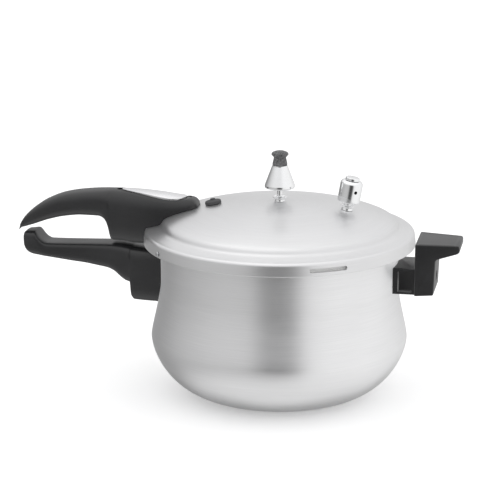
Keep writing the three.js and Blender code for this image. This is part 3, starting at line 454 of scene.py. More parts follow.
POT_METAL = SpunAluminium("spun_aluminium_pot", "pot_aluminium", (0.80, 0.80, 0.805))
LID_METAL = SpunAluminium(
    "spun_aluminium_lid", "lid_aluminium", (0.735, 0.735, 0.74), roughness=0.32, climb=-1.0
)
RIVET_METAL = PlatedSteel("upset_rivet", "rivet_aluminium", (0.72, 0.72, 0.73))
CHROME = Chrome("polished_chrome", "chrome", (0.90, 0.905, 0.91))
ZINC = PlatedSteel("zinc_plated_steel", "zinc_steel", (0.60, 0.61, 0.62))
INLAY = GrainedSheet("grained_inlay", "satin_inlay", (0.80, 0.80, 0.81))
PHENOLIC = Moulded("black_phenolic", "phenolic", (0.016, 0.016, 0.017), roughness=0.36)
KNOB = Moulded(
    "dark_knob", "knob_phenolic", (0.11, 0.11, 0.112), roughness=0.6, speckle=1.1, spread=0.85, pit=0.3
)
PLUG = Moulded("plug_rubber", "plug_rubber", (0.07, 0.071, 0.074), roughness=0.62, speckle=0.3)
RING = Moulded("ring_silicone", "ring_rubber", (0.8, 0.8, 0.79), roughness=0.5, spread=0.08)
# The floor's glow is painted light, with a painted shadow round the pot's base.
FLOOR = Paper("studio_paper", "", (0.96, 0.96, 0.96))


# ------------------------------------------------------------------ outlines


def filleted(corners: Profile, steps: int = 5) -> Profile:
    """Rounds the corners of an outline.

    Args:
        corners: Points as (across, up), or (across, up, radius) where the corner is round.
        steps: Straight pieces in each round corner.

    Returns:
        The outline as plain points.
    """
    result: Profile = []
    for i, corner in enumerate(corners):
        if len(corner) < 3 or i in (0, len(corners) - 1):
            result.append((corner[0], corner[1]))
            continue
        here = Vector(corner[:2])
        back = Vector(corners[i - 1][:2]) - here
        ahead = Vector(corners[i + 1][:2]) - here
        half = back.angle(ahead) / 2
        reach = min(corner[2] / math.tan(half), 0.48 * min(back.length, ahead.length))
        radius = reach * math.tan(half)
        centre = here + (back.normalized() + ahead.normalized()).normalized() * radius / math.sin(half)
        start = here + back.normalized() * reach - centre
        finish = here + ahead.normalized() * reach - centre
        first = math.atan2(start.y, start.x)
        sweep = math.remainder(math.atan2(finish.y, finish.x) - first, math.tau)
        for k in range(steps + 1):
            angle = first + sweep * k / steps
            result.append((centre.x + radius * math.cos(angle), centre.y + radius * math.sin(angle)))
    return result


def bezier(a: Pair, b: Pair, c: Pair, d: Pair, steps: int = 12) -> Profile:
    """Points of a cubic Bezier after its first."""
    points: Profile = []
    for k in range(1, steps + 1):
        t = k / steps
        s = 1 - t
        weights = (s**3, 3 * s * s * t, 3 * s * t * t, t**3)
        parts = [sum(w * p[i] for w, p in zip(weights, (a, b, c, d))) for i in (0, 1)]
        points.append((parts[0], parts[1]))
    return points


def offset(profile: Profile, distance: float) -> Profile:
    """A profile moved sideways, outward for a positive distance."""
    moved: Profile = []
    for i, (across, up) in enumerate(profile):
        before = profile[max(i - 1, 0)]
        after = profile[min(i + 1, len(profile) - 1)]
        run, rise = after[0] - before[0], after[1] - before[1]
        length = math.hypot(run, rise)
        shift = across + distance * rise / length if across else 0.0
        moved.append((shift, up - distance * run / length))
    return moved


def between(table: Sequence[Pair], value: float) -> list[float]:
    """A smooth reading of a table whose first column rises.

    Args:
        table: Rows of a key followed by values.
        value: The key to read at.

    Returns:
        The values at that key, on a curve that doesn't overshoot.
    """
    keys = [row[0] for row in table]
    value = min(max(value, keys[0]), keys[-1])
    i = max(k for k in range(len(keys) - 1) if keys[k] <= value)
    width = keys[i + 1] - keys[i]
    t = (value - keys[i]) / width

    def slope(k: int, column: int) -> float:
        """Slope at a row, level where the values turn back."""
        if k in (0, len(keys) - 1):
            return 0.0 if k else rise(0, column)
        left, right = rise(k - 1, column), rise(k, column)
        return 0.0 if left * right <= 0 else 2 * left * right / (left + right)

    def rise(k: int, column: int) -> float:
        """Slope of the straight piece after a row."""
        return (table[k + 1][column] - table[k][column]) / (keys[k + 1] - keys[k])

    result = []
    for column in range(1, len(table[0])):
        p, q = table[i][column], table[i + 1][column]
        m, n = slope(i, column) * width, slope(i + 1, column) * width
        value_here = (
            (
                2 * t**3 - 3 * t**2 + 1
            ) * p + (t**3 - 2 * t**2 + t) * m + (3 * t**2 - 2 * t**3) * q + (t**3 - t**2) * n
        )
        result.append(value_here)
    return result


# ------------------------------------------------------------------ meshes


class Shape:
    """A mesh object being made; its sizes come in millimetres."""

    def __init__(
        self, name: str, points: Iterable[Sequence[float]], faces: Iterable[Sequence[int]]
    ) -> None:
        """Writes the mesh in metres and adds the object to the scene."""
        mesh = bpy.data.meshes.new(name)
        mesh.from_pydata([[part * MM for part in point] for point in points], [], list(faces))
        mesh.validate()
        self.thing = bpy.data.objects.new(name, mesh)
        bpy.context.scene.collection.objects.link(self.thing)

    @classmethod
    def revolved(cls, name: str, profile: Profile, steps: int = 128) -> "Shape":
        """Body of revolution about Z.

        Args:
            name: Name of the piece.
            profile: Outline up the outside, ending on the axis or where it began.
            steps: Facets round the axis.

        Returns:
            The shape.
        """
        closed = profile[0] == profile[-1]
        outline = profile[:-1] if closed else profile
        points: list[tuple[float, float, float]] = []
        rows: list[list[int]] = []
        for radius, height in outline:
            on_axis = radius < 1e-9
            row = [len(points) + k for k in range(1 if on_axis else steps)]
            for k in range(len(row)):
                angle = math.tau * k / steps
                points.append((radius * math.cos(angle), radius * math.sin(angle), height))
            rows.append(row if not on_axis else row * steps)
        faces = []
        for low, high in zip(rows, rows[1:] + rows[:1] if closed else rows[1:]):
            for k in range(steps):
                n = (k + 1) % steps
                corners = [low[k], low[n], high[n], high[k]]
                face = list(dict.fromkeys(corners))
                if len(face) > 2:
                    faces.append(face)
        return cls(name, points, faces)

    @classmethod
    def lofted(cls, name: str, rings: Sequence[Sequence[Sequence[float]]]) -> "Shape":
        """Body through rings of points, closed at both ends by shrinking the end ring.

        Args:
            name: Name of the piece.
            rings: Rings with equal numbers of points, turning left seen from the last ring.

        Returns:
            The shape.
        """
        size = len(rings[0])
        points = [point for ring in rings for point in ring]
        faces = []
        for row in range(len(rings) - 1):
            for k in range(size):
                a = row * size + k
                b = row * size + (k + 1) % size
                faces.append([a, b, b + size, a + size])
        for start, flip in ((0, True), ((len(rings) - 1) * size, False)):
            ring = points[start : start + size]
            middle = len(points)
            points.append([sum(p[i] for p in ring) / size for i in range(3)])
            for k in range(size):
                edge = [start + k, start + (k + 1) % size]
                faces.append([*(reversed(edge) if flip else edge), middle])
        return cls(name, points, faces)

    @classmethod
    def pressed(cls, name: str, outline: Profile, low: float, high: float) -> "Shape":
        """Prism from an outline that turns left, between two heights."""
        count = len(outline)
        points = [(x, y, z) for z in (low, high) for x, y in outline]
        faces = [list(reversed(range(count))), list(range(count, 2 * count))]
        for k in range(count):
            n = (k + 1) % count
            faces.append([k, n, n + count, k + count])
        return cls(name, points, faces)

    @classmethod
    def swept(cls, name: str, outline: Profile, centre: float, width: float) -> "Shape":
        """Part of a body of revolution about Z.

        Args:
            name: Name of the piece.
            outline: Closed section of (radius, height) points that turns left.
            centre: Middle angle in degrees.
            width: Angle covered in degrees.

        Returns:
            The shape.
        """
        steps = max(4, round(width / 1.5))
        count = len(outline)
        points = []
        for k in range(steps + 1):
            angle = math.radians(centre - width / 2 + width * k / steps)
            points += [(r * math.cos(angle), r * math.sin(angle), z) for r, z in outline]
        faces = [list(range(count)), list(reversed(range(steps * count, (steps + 1) * count)))]
        for row in range(steps):
            for k in range(count):
                a, b = row * count + k, row * count + (k + 1) % count
                faces.append([b, a, a + count, b + count])
        return cls(name, points, faces)

    @classmethod
    def box(cls, name: str, low: Sequence[float], high: Sequence[float]) -> "Shape":
        """Prism with square corners, used only as a cutting tool or before rounding."""
        outline = [(low[0], low[1]), (high[0], low[1]), (high[0], high[1]), (low[0], high[1])]
        return cls.pressed(name, outline, low[2], high[2])

    @classmethod
    def drill(cls, radius: float, low: float, high: float, steps: int = 40) -> "Shape":
        """Cutting tool: a round rod along Z."""
        return cls.revolved("drill", [(0, low), (radius, low), (radius, high), (0, high)], steps)

    def copy(self, matrix: Matrix = Matrix.Identity(4)) -> "Shape":
        """A moved copy, to cut or keep with."""
        twin = Shape("copy", [], [])
        twin.thing.data = self.thing.data.copy()
        return twin.moved(matrix)

    def moved(self, matrix: Matrix) -> "Shape":
        """Moves the mesh by a matrix in metres."""
        self.thing.data.transform(matrix)
        return self

    def _settle(self) -> "Shape":
        """Applies the modifiers."""
        graph = bpy.context.evaluated_depsgraph_get()
        made = bpy.data.meshes.new_from_object(self.thing.evaluated_get(graph))
        old = self.thing.data
        self.thing.modifiers.clear()
        self.thing.data = made
        bpy.data.meshes.remove(old)
        return self

    def _combined(self, operation: str, others: Iterable["Shape"]) -> "Shape":
        """Joins or cuts with other shapes, which are used up."""
        tools = list(others)
        for tool in tools:
            modifier = self.thing.modifiers.new("tool", "BOOLEAN")
            modifier.operation = operation
            modifier.solver = "EXACT"
            modifier.object = tool.thing
        self._settle()
        for tool in tools:
            bpy.data.objects.remove(tool.thing)
        return self

    def cut(self, *tools: "Shape") -> "Shape":
        """Takes other shapes away."""
        return self._combined("DIFFERENCE", tools)

    def joined(self, *others: "Shape") -> "Shape":
        """Adds other shapes."""
        return self._combined("UNION", others)

    def kept(self, other: "Shape") -> "Shape":
        """Keeps what lies inside another shape."""
        return self._combined("INTERSECT", [other])

    def rounded(self, width: float, segments: int = 3, angle: float = 30.0) -> "Shape":
        """Rounds every edge sharper than an angle."""
        modifier = self.thing.modifiers.new("edge", "BEVEL")
        modifier.width = width * MM
        modifier.segments = segments
        modifier.limit_method = "ANGLE"
        modifier.angle_limit = math.radians(angle)
        return self._settle()

    def narrowed(self, start: float, end: float, share: float) -> "Shape":
        """Loses a share of its width across Y from one place on X to another."""
        for vertex in self.thing.data.vertices:
            gone = (vertex.co.x / MM - start) / (end - start)
            vertex.co.y *= 1 - share * gone
        return self

    def finished(self, finish: Finish, body: Body, *nodes: str, crease: float = 32.0) -> bpy.types.Object:
        """Dresses the piece and ties it to the frame.

        Args:
            finish: Its surface.
            body: The body it moves with.
            nodes: CAD nodes it stands for.
            crease: Edges sharper than this many degrees stay crisp.

        Returns:
            The object.
        """
        mesh = self.thing.data
        mesh.materials.clear()
        mesh.materials.append(finish.material())
        mesh.shade_smooth()
        mesh.set_sharp_from_angle(angle=math.radians(crease))
        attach(self.thing, body.value)
        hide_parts(*nodes)
        LOG.info("%s: %d faces", self.thing.name, len(mesh.polygons))
        return self.thing


def shifted(x: float = 0.0, y: float = 0.0, z: float = 0.0) -> Matrix:
    """A move in millimetres."""
    return Matrix.Translation(Vector((x, y, z)) * MM)


def spun(angle: float, axis: str) -> Matrix:
    """A turn in degrees about an axis."""
    return Matrix.Rotation(math.radians(angle), 4, axis)


def outward(angle: float, radius: float, height: float) -> Matrix:
    """Frame on a circle round Z whose own Z points out of it."""
    return spun(angle, "Z") @ shifted(radius, 0, height) @ spun(90, "Y")


def reach(node: str) -> tuple[Vector, Vector]:
    """Lowest and highest corner of a CAD node, in millimetres."""
    low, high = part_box(node)
    return low / MM, high / MM


def rectangle(inside: float, outside: float, low: float, high: float) -> Profile:
    """Section of a flat ring, turning left."""
    return [(inside, low), (outside, low), (outside, high), (inside, high)]


def smooth_loop(points: Profile, steps: int = 4) -> Profile:
    """A closed curve through points.

    Args:
        points: Corners of the loop.
        steps: Straight pieces between two corners.

    Returns:
        The curve's points.
    """
    count = len(points)
    result: Profile = []
    for i in range(count):
        a, b, c, d = (Vector(points[(i + k) % count]) for k in (-1, 0, 1, 2))
        for k in range(steps):
            t = k / steps
            curve = 2 * b + (c - a) * t + (2 * a - 5 * b + 4 * c - d) * t * t
            curve += (3 * b - a - 3 * c + d) * t**3
            result.append((curve.x / 2, curve.y / 2))
    return result


def turned(
    name: str, corners: Profile, finish: Finish, body: Body, node: str, frame: Matrix,
    steps: int, arcs: int = 5,
) -> None:
    """Makes and dresses a piece turned about the Z of its frame.

    Args:
        name: Name of the piece.
        corners: Its outline, with a radius where a corner is round.
        finish: Its surface.
        body: The body it moves with.
        node: CAD node it stands for.
        frame: Where it stands.
        steps: Facets round the axis.
        arcs: Straight pieces in each round corner.
    """
    made = Shape.revolved(name, filleted(corners, arcs), steps).moved(frame)
    made.finished(finish, body, node)


# ------------------------------------------------------------------ forms shared by the pieces


GAP = 0.3  # between pieces that touch
WALL = 3.0  # sheet of pot and lid
SEAL = 1.2  # washers that seal under the lid
NUT_HEIGHT = 4


@dataclass
class LidForm:
    """Outer surface of the lid."""

    radius: float = field(default_factory=lambda: reach("lid_shell")[1].y)
    edge: float = field(default_factory=lambda: reach("lid_shell")[0].z)
    top: float = field(default_factory=lambda: reach("lid_shell")[1].z)
    flange: float = 11.5
    flare: float = 0.9
    bead: float = 3.2
    knee_inset: float = 45.0
    knee_drop: float = 8.1
    shoulder_inset: float = 19.6

    def outline(self) -> Profile:
        """Profile from the skirt's edge to the centre of the dome."""
        bead_at = (self.radius - self.flare - self.bead, self.edge + self.flange - self.bead)
        arc = [
            (
                bead_at[0] + self.bead * math.cos(math.radians(turn)),
                bead_at[1] + self.bead * math.sin(math.radians(turn)),
            )
            for turn in range(0, 91, 9)
        ]
        inner = self.radius - 13.1
        rise = self.edge + self.flange + 2.0
        knee = (self.radius - self.knee_inset, self.top - self.knee_drop)
        curve = (knee[0] ** 2 + self.knee_drop**2) / (2 * self.knee_drop)
        slope = knee[0] / (curve - self.knee_drop)
        shoulder = (self.radius - self.shoulder_inset, rise + 7.0)
        step = (inner - 2.8, rise + 2.8)
        flat = (inner + 2, rise - 0.4)
        dome = [
            (knee[0] * k / 20, self.top - curve + math.sqrt(curve**2 - (knee[0] * k / 20) ** 2))
            for k in range(19, 0, -1)
        ]
        return [
            (self.radius, self.edge), *arc,
            *bezier(arc[-1], (arc[-1][0] - 3, arc[-1][1] + 0.3), (flat[0] + 2, flat[1] - 0.4), flat, 4),
            *bezier(flat, (inner - 1, rise + 0.4), (inner - 2, rise + 1.2), step, 8),
            *bezier(
                step, (inner - 3.8, shoulder[1] - 2), (shoulder[0] + 1.6, shoulder[1] - 0.9), shoulder, 8
            ),
            *bezier(
                shoulder, (shoulder[0] - 7, shoulder[1] + 3.15), (knee[0] + 10, knee[1] - 10 * slope),
                knee, 14
            ),
            *dome, (0.0, self.top)
        ]

    def envelope(self, growth: float) -> Shape:
        """Everything under the lid's surface, grown by a clearance."""
        grown = offset(self.outline(), growth)
        foot = self.edge - 30
        return Shape.revolved("envelope", [(0, foot), (grown[0][0], foot), *grown], 160)

    def station(self, inset: float, side: int) -> Matrix:
        """Frame on the lid whose Z stands out of its surface.

        Args:
            inset: Distance inward from the skirt.
            side: 1 for +X, -1 for -X.

        Returns:
            The frame.
        """
        table = [point for point in reversed(self.outline()) if point[0] < self.radius - 14]
        radius = self.radius - inset
        here, ahead = between(table, radius)[0], between(table, radius + 1)[0]
        tilt = math.degrees(math.atan(here - ahead))
        return shifted(side * radius, 0, here) @ spun(side * tilt, "Y")


@dataclass
class PotForm:
    """Outer surface of the pot."""

    rim: float = field(default_factory=lambda: reach("pot_body")[1].z)
    neck: float = 105.0
    belly: float = 113.7
    belly_height: float = 53.0
    base: float = 53.0
    lug: float = 2.6
    bead: float = 2.0

    def outline(self) -> Profile:
        """Profile from the centre of the base to just under the rim."""
        base, belly = (self.base, 0.0), (self.belly, self.belly_height)
        neck = (self.neck, self.rim - 40)
        return [
            (0.0, 0.0), base,
            *bezier(base, (self.base + 44, 0), (self.belly, self.belly_height - 14.5), belly, 30),
            *bezier(belly, (self.belly, self.belly_height + 6), (self.neck, neck[1] - 13), neck, 20),
            (self.neck, self.rim - self.lug - self.bead)
        ]

    def radius_at(self, height: float) -> float:
        """Radius of the wall at a height."""
        table = [(z, r) for r, z in self.outline()[1:]]
        return between(table, height)[0]

    def envelope(self, growth: float) -> Shape:
        """Everything inside the pot's outer surface, grown by a clearance."""
        grown = offset(self.outline(), growth)[1:]
        tip = grown[-1][0]
        profile = [(0, grown[0][1]), *grown, (tip, self.rim), (0, self.rim)]
        return Shape.revolved("envelope", profile, 160)

    def strip(self, low: float, high: float, near: float, far: float) -> Profile:
        """Closed section that follows the wall between two heights and two distances."""
        heights = [low + (high - low) * k / 16 for k in range(17)]
        outside = [(self.radius_at(z) + far, z) for z in heights]
        inside = [(self.radius_at(z) + near, z) for z in reversed(heights)]
        return outside + inside


# ------------------------------------------------------------------ fasteners


@dataclass
class Fasteners:
    """Screws, washers, rivets and nuts that hold the other pieces."""

    screw_radius: float = 2.4
    head_radius: float = 4.5
    head_height: float = 3.0
    rivet_radius: float = 1.8
    rivet_head: float = 3.3
    washer: float = 1.0

    @property
    def hole(self) -> float:
        """Radius of a hole for a screw."""
        return self.screw_radius + GAP

    def screw(self, name: str, frame: Matrix, length: float, body: Body) -> None:
        """Domed screw with a cross recess and a thread on its shank.

        Args:
            name: CAD node it stands for.
            frame: Where its head sits; it goes in along +Z.
            length: Shank below the head.
            body: Body it moves with.
        """
        r, h = self.head_radius, self.head_height
        pitch = 0.8
        thread: Profile = []
        for k in range(int((length - 2.4) / pitch)):
            start = 1.0 + k * pitch
            thread += [(self.screw_radius, start + 0.2), (self.screw_radius - 0.3, start + 0.6)]
        profile = filleted([
            (0, -h), (r * 0.55, -h, 4.0), (r, -h * 0.45, 0.8), (r, 0, 0.25), (self.screw_radius, 0),
            *thread, (self.screw_radius, length - 1.3), (self.screw_radius / 2, length), (0, length)
        ])
        made = Shape.revolved(name, profile, 48)
        floor = -h * 0.4
        arm, blade = 1.8, 0.45
        cross = Shape.box("cross", (-arm, -blade, -h - 1), (arm, blade, floor))
        made.cut(cross.joined(Shape.box("cross", (-blade, -arm, -h - 1), (blade, arm, floor))))
        made.moved(frame).finished(ZINC, body, name)

    def washer_ring(self, name: str, frame: Matrix, section: Pair, finish: Finish, body: Body) -> None:
        """Washer with rounded edges; section is (inside, outside, underside, top)."""
        inside, outside, low, high = section
        corner = min(0.3, (high - low) * 0.35)
        profile = [
            ((inside + outside) / 2, low), (outside, low, corner), (outside, high, corner),
            (inside, high, corner), (inside, low, corner), ((inside + outside) / 2, low)
        ]
        turned(name, profile, finish, body, name, frame, 48)

    def rivet(self, name: str, frame: Matrix, grip: float, body: Body) -> None:
        """Rivet with a domed head at either end of a grip."""
        r, crown = self.rivet_head, 1.5
        low, high = -GAP, grip + GAP
        profile = [
            (0, low - crown), (r * 0.6, low - crown, 3.0), (r, low - crown * 0.3, 0.4), (r, low, 0.15),
            (self.rivet_radius, low), (self.rivet_radius, high), (r, high, 0.15),
            (r, high + crown * 0.3, 0.4), (r * 0.6, high + crown, 3.0), (0, high + crown)
        ]
        turned(name, profile, RIVET_METAL, body, name, frame, 40)

    def nut(self, name: str, frame: Matrix, sizes: Pair, body: Body) -> None:
        """Hexagonal nut with chamfered corners; sizes are (hole, corner radius, underside, top)."""
        hole, radius, low, high = sizes
        corners = [
            (radius * math.cos(k * math.pi / 3), radius * math.sin(k * math.pi / 3)) for k in range(6)
        ]
        made = Shape.pressed(name, corners, low, high)
        chamfer = 0.7
        flat = radius * 0.9
        barrel = [
            (0, low), (flat, low), (radius, low + chamfer), (radius, high - chamfer), (flat, high),
            (0, high)
        ]
        made.kept(Shape.revolved("barrel", barrel, 60)).cut(Shape.drill(hole, low - 1, high + 1))
        made.moved(frame).finished(ZINC, body, name)


# ------------------------------------------------------------------ brackets


@dataclass
class Bracket:
    """Steel strap riveted to the pot, with the boss that a handle is screwed to."""

    prefix: str
    side: int
    form: PotForm
    skirt: float
    low: float
    high: float
    boss: float
    rivets: float
    boss_length: float
    face: float
    counterbore: float
    fasteners: Fasteners
    thickness: float = 2.5
    arc: float = 15.0
    rivet_turn: float = 5.0
    boss_width: float = 9.0

    @property
    def root(self) -> float:
        """Distance from the pot's axis at which the boss clears the wall."""
        half = self.boss_width / 2
        return max(self.form.radius_at(self.boss + up) for up in (-half, half)) + GAP

    @property
    def turn(self) -> Matrix:
        """Turns +X to the bracket's side."""
        return spun(0 if self.side > 0 else 180, "Z")

    def _body(self, growth: float) -> Shape:
        """Strap and boss grown by a clearance, toward +X."""
        section = self.form.strip(
            self.low - growth, self.high + growth, GAP - growth, GAP + self.thickness + growth
        )
        wider = math.degrees(2 * growth / self.form.neck)
        strap = Shape.swept("bracket", section, 0, self.arc + wider)
        half = self.boss_width / 2 + growth
        stub = Shape.box(
            "boss", (self.root, -half, self.boss - half),
            (self.root + self.boss_length + growth, half, self.boss + half)
        )
        return strap.rounded(0.4).joined(stub.rounded(0.6))

    def rivet_frames(self) -> list[Matrix]:
        """Frames of the rivets, starting on the pot's inner wall."""
        start = self.form.radius_at(self.rivets) - WALL
        middle = 0 if self.side > 0 else 180
        return [outward(middle + side * self.rivet_turn, start, self.rivets) for side in (-1, 1)]

    def tools(self) -> list[Shape]:
        """What the handle is cut by to fit over the bracket, its screw and its rivets."""
        floor = self.skirt + self.face - self.counterbore
        along = self.turn @ shifted(0, 0, self.boss) @ spun(90, "Y")
        grip = 2 * WALL + self.thickness
        heads = [
            Shape.drill(self.fasteners.rivet_head + GAP, 0, grip + 1.5).moved(frame)
            for frame in self.rivet_frames()
        ]
        return [
            self._body(GAP).moved(self.turn),
            Shape.drill(self.fasteners.hole, self.root, floor + 1).moved(along),
            Shape.drill(self.fasteners.head_radius + GAP, floor, floor + 40).moved(along), *heads
        ]

    def holes(self) -> list[Shape]:
        """Rivet holes through the pot."""
        radius = self.fasteners.rivet_radius + GAP
        return [Shape.drill(radius, -5, 5).moved(frame) for frame in self.rivet_frames()]

    def build(self) -> None:
        """Makes the strap, rivets, screw and washer."""
        name = f"{self.prefix}_bracket"
        along = shifted(0, 0, self.boss) @ spun(90, "Y")
        strap = self._body(0)
        strap.thing.name = name
        strap.moved(self.turn)
        strap.cut(
            Shape.drill(self.fasteners.hole, self.root + self.thickness, self.root + 60).moved(
                self.turn @ along
            ),
            *[
                Shape.drill(self.fasteners.rivet_radius + GAP, 1, 15).moved(frame)
                for frame in self.rivet_frames()
            ],
        )
        strap.finished(ZINC, Body.POT, name)
        for k, frame in enumerate(self.rivet_frames(), 1):
            grip = WALL + GAP + self.thickness
            self.fasteners.rivet(f"{self.prefix}_rivet_{k}", frame, grip, Body.POT)
        x = self.skirt + self.face - self.counterbore + 2 * GAP + self.fasteners.washer
        bolt = self.turn @ shifted(x, 0, self.boss) @ spun(-90, "Y")
        length = x - self.root - self.thickness - GAP
        self.fasteners.screw(f"{self.prefix}_screw", bolt, length, Body.POT)
        thickness = self.fasteners.washer
        section = (self.fasteners.hole, self.fasteners.head_radius, GAP, GAP + thickness)
        self.fasteners.washer_ring(f"{self.prefix}_washer", bolt, section, ZINC, Body.POT)


# ------------------------------------------------------------------ pot


@dataclass
class Pot:
    """Spun aluminium pot with four bayonet lugs round its rim."""

    form: PotForm
    brackets: list[Bracket]
    lug_arc: float = 28.0
    lug_reach: float = 112.5

    def build(self) -> None:
        """Makes the shell."""
        form = self.form
        outline = form.outline()
        inside = offset(outline[1:], -WALL)
        bore, rim, under = inside[-1][0], form.rim, form.rim - form.lug
        lip = form.neck + form.bead
        profile = filleted([
            (0, 0), (form.base, 0, 1.0), *outline[3:], (lip, under, 0.6), (lip, rim, 0.9),
            (bore, rim, 0.9), *reversed(inside), (0, WALL), (0, 0)
        ])
        shell = Shape.revolved("pot_body_spun", profile, 192)
        section = rectangle(form.neck - WALL / 2, self.lug_reach, under, rim)
        lugs = [
            Shape.swept("lug", section, 90 * k, self.lug_arc).rounded(0.7, angle=40) for k in range(4)
        ]
        shell.joined(*lugs).cut(*[hole for bracket in self.brackets for hole in bracket.holes()])
        shell.finished(POT_METAL, Body.POT, "pot_body")


def superellipse(turn: float, upper: float, lower: float) -> Pair:
    """Point of a rounded section.

    Args:
        turn: Angle round the section.
        upper: Squareness of the upper half; 2 is an ellipse.
        lower: Squareness of the lower half.

    Returns:
        Across and up, each between -1 and 1.
    """
    power = 2 / (upper if math.sin(turn) > 0 else lower)
    across, up = math.cos(turn), math.sin(turn)
    return (math.copysign(abs(across) ** power, across), math.copysign(abs(up) ** power, up))


@dataclass
class LongHandle:
    """Body of a long moulded handle along -X, from stations measured from the skirt."""

    lid: LidForm
    stations: list[Pair]
    upper: float
    lower: float
    sides: int = 56
    spacing: float = 1.6

    def shape(self, name: str) -> Shape:
        """Lofts the handle; each station is (out, underside, top, half width)."""
        table = sorted(self.stations)
        keys = [row[0] for row in table]
        places: list[float] = []
        for start, stop in zip(keys, keys[1:]):
            count = max(2, math.ceil((stop - start) / self.spacing))
            places += [start + (stop - start) * k / count for k in range(count)]
        places.append(keys[-1])
        rings = []
        for out in places:
            under, top, half = between(table, out)
            ring = []
            for k in range(self.sides):
                across, up = superellipse(math.tau * (k + 0.5) / self.sides, self.upper, self.lower)
                height = self.lid.edge + (under + top) / 2 + (top - under) / 2 * up
                ring.append((-self.lid.radius - out, half * across, height))
            rings.append(ring)
        return Shape.lofted(name, list(reversed(rings)))


@dataclass
class PotHandle:
    """Long handle of the pot, with its hooked tip and its block against the wall."""

    lid: LidForm
    bracket: Bracket
    stations: list[Pair] = field(
        default_factory=lambda: [
            (112.1, -10.6, -2.4, 8.5), (111.4, -14.2, -0.6, 10.5), (109.6, -17.6, 0.3, 12),
            (106.2, -20, 0.7, 13), (101.4, -21.2, 1.2, 13.6), (99.1, -21.4, -1, 13.7),
            (97, -21.6, -4, 13.8), (94, -22, -6.9, 13.8), (90, -22.4, -8.6, 13.8),
            (68, -25.2, -8.1, 13.6), (55, -26.6, -7.6, 13.6), (43, -28.6, -7.2, 14),
            (34, -30.2, -6.9, 14.6), (28, -33, -6.8, 15.2), (22, -38.2, -6.9, 15.8),
            (18, -41, -7.4, 16.2), (13, -43, -8.2, 16.8), (12.1, -56.2, -8.5, 17),
            (10.1, -58.4, -8.9, 17.3), (-21, -59.4, -10.8, 19)
        ]
    )

    def build(self) -> None:
        """Makes the handle."""
        made = LongHandle(self.lid, self.stations, 4.6, 3.2).shape("pot_handle_moulded")
        made.cut(self.bracket.form.envelope(GAP), *self.bracket.tools())
        made.finished(PHENOLIC, Body.POT, "pot_handle").visible_glossy = False


@dataclass
class HelperHandle:
    """Short handle opposite the long ones: an upright slab with a thumb shelf."""

    lid: LidForm
    bracket: Bracket
    clearance: float = 2.4
    low: float = -37.4
    high: float = 8.8
    half: float = 24.0
    reach: float = 38.0
    taper: float = 0.2
    block_half: float = 21.0
    block_height: float = 23.6
    pocket: float = 7.0
    pocket_wall: float = 2.6

    def build(self) -> None:
        """Makes the slab, its block, side pockets and the groove round its shelf."""
        inner = self.lid.radius + self.clearance
        tip = inner + self.reach
        low, high = self.lid.edge + self.low, self.lid.edge + self.high
        outline = filleted([
            (inner, (low + high) / 2), (inner, low, 1.0), (inner + 16.4, low + 0.8, 1.6),
            (inner + 17.6, high - 13.6, 3.0), (tip - 1.6, high - 8, 1.5), (tip, high - 6.4, 1.0),
            (tip, high - 2.2, 1.4), (tip - 1.2, high - 0.8, 1.2), (inner, high, 1.0),
            (inner, (low + high) / 2)
        ])[:-1]
        upright = Shape.pressed("helper_handle_moulded", outline, -self.half, self.half)
        upright.moved(spun(90, "X")).narrowed(inner, tip, self.taper).rounded(1.3, 4, 50)
        neck = self.bracket.form.neck
        top = low + self.block_height
        block = Shape.box(
            "block", (neck - 8, -self.block_half, low + 0.4), (inner + 2, self.block_half, top)
        ).rounded(0.8)
        pockets = []
        for side in (-1, 1):
            ends = sorted((side * (self.block_half - self.pocket), side * (self.block_half + 1)))
            pockets.append(
                Shape.box(
                    "pocket", (neck + self.pocket_wall, ends[0], low + self.pocket_wall),
                    (inner - self.pocket_wall, ends[1], top - self.pocket_wall)
                ).rounded(0.6)
            )
        inset = 2.6
        grooves = [
            Shape.box(
                "groove", (inner + 3, side * (self.half - inset) - 0.35, high - 1.1),
                (inner + 33, side * (self.half - inset) + 0.35, high + 1)
            ).narrowed(inner, tip, self.taper)
            for side in (-1, 1)
        ]
        upright.joined(block).cut(*pockets, *grooves)
        upright.cut(self.bracket.form.envelope(GAP), *self.bracket.tools())
        upright.finished(PHENOLIC, Body.POT, "helper_handle").visible_glossy = False


# ------------------------------------------------------------------ lid


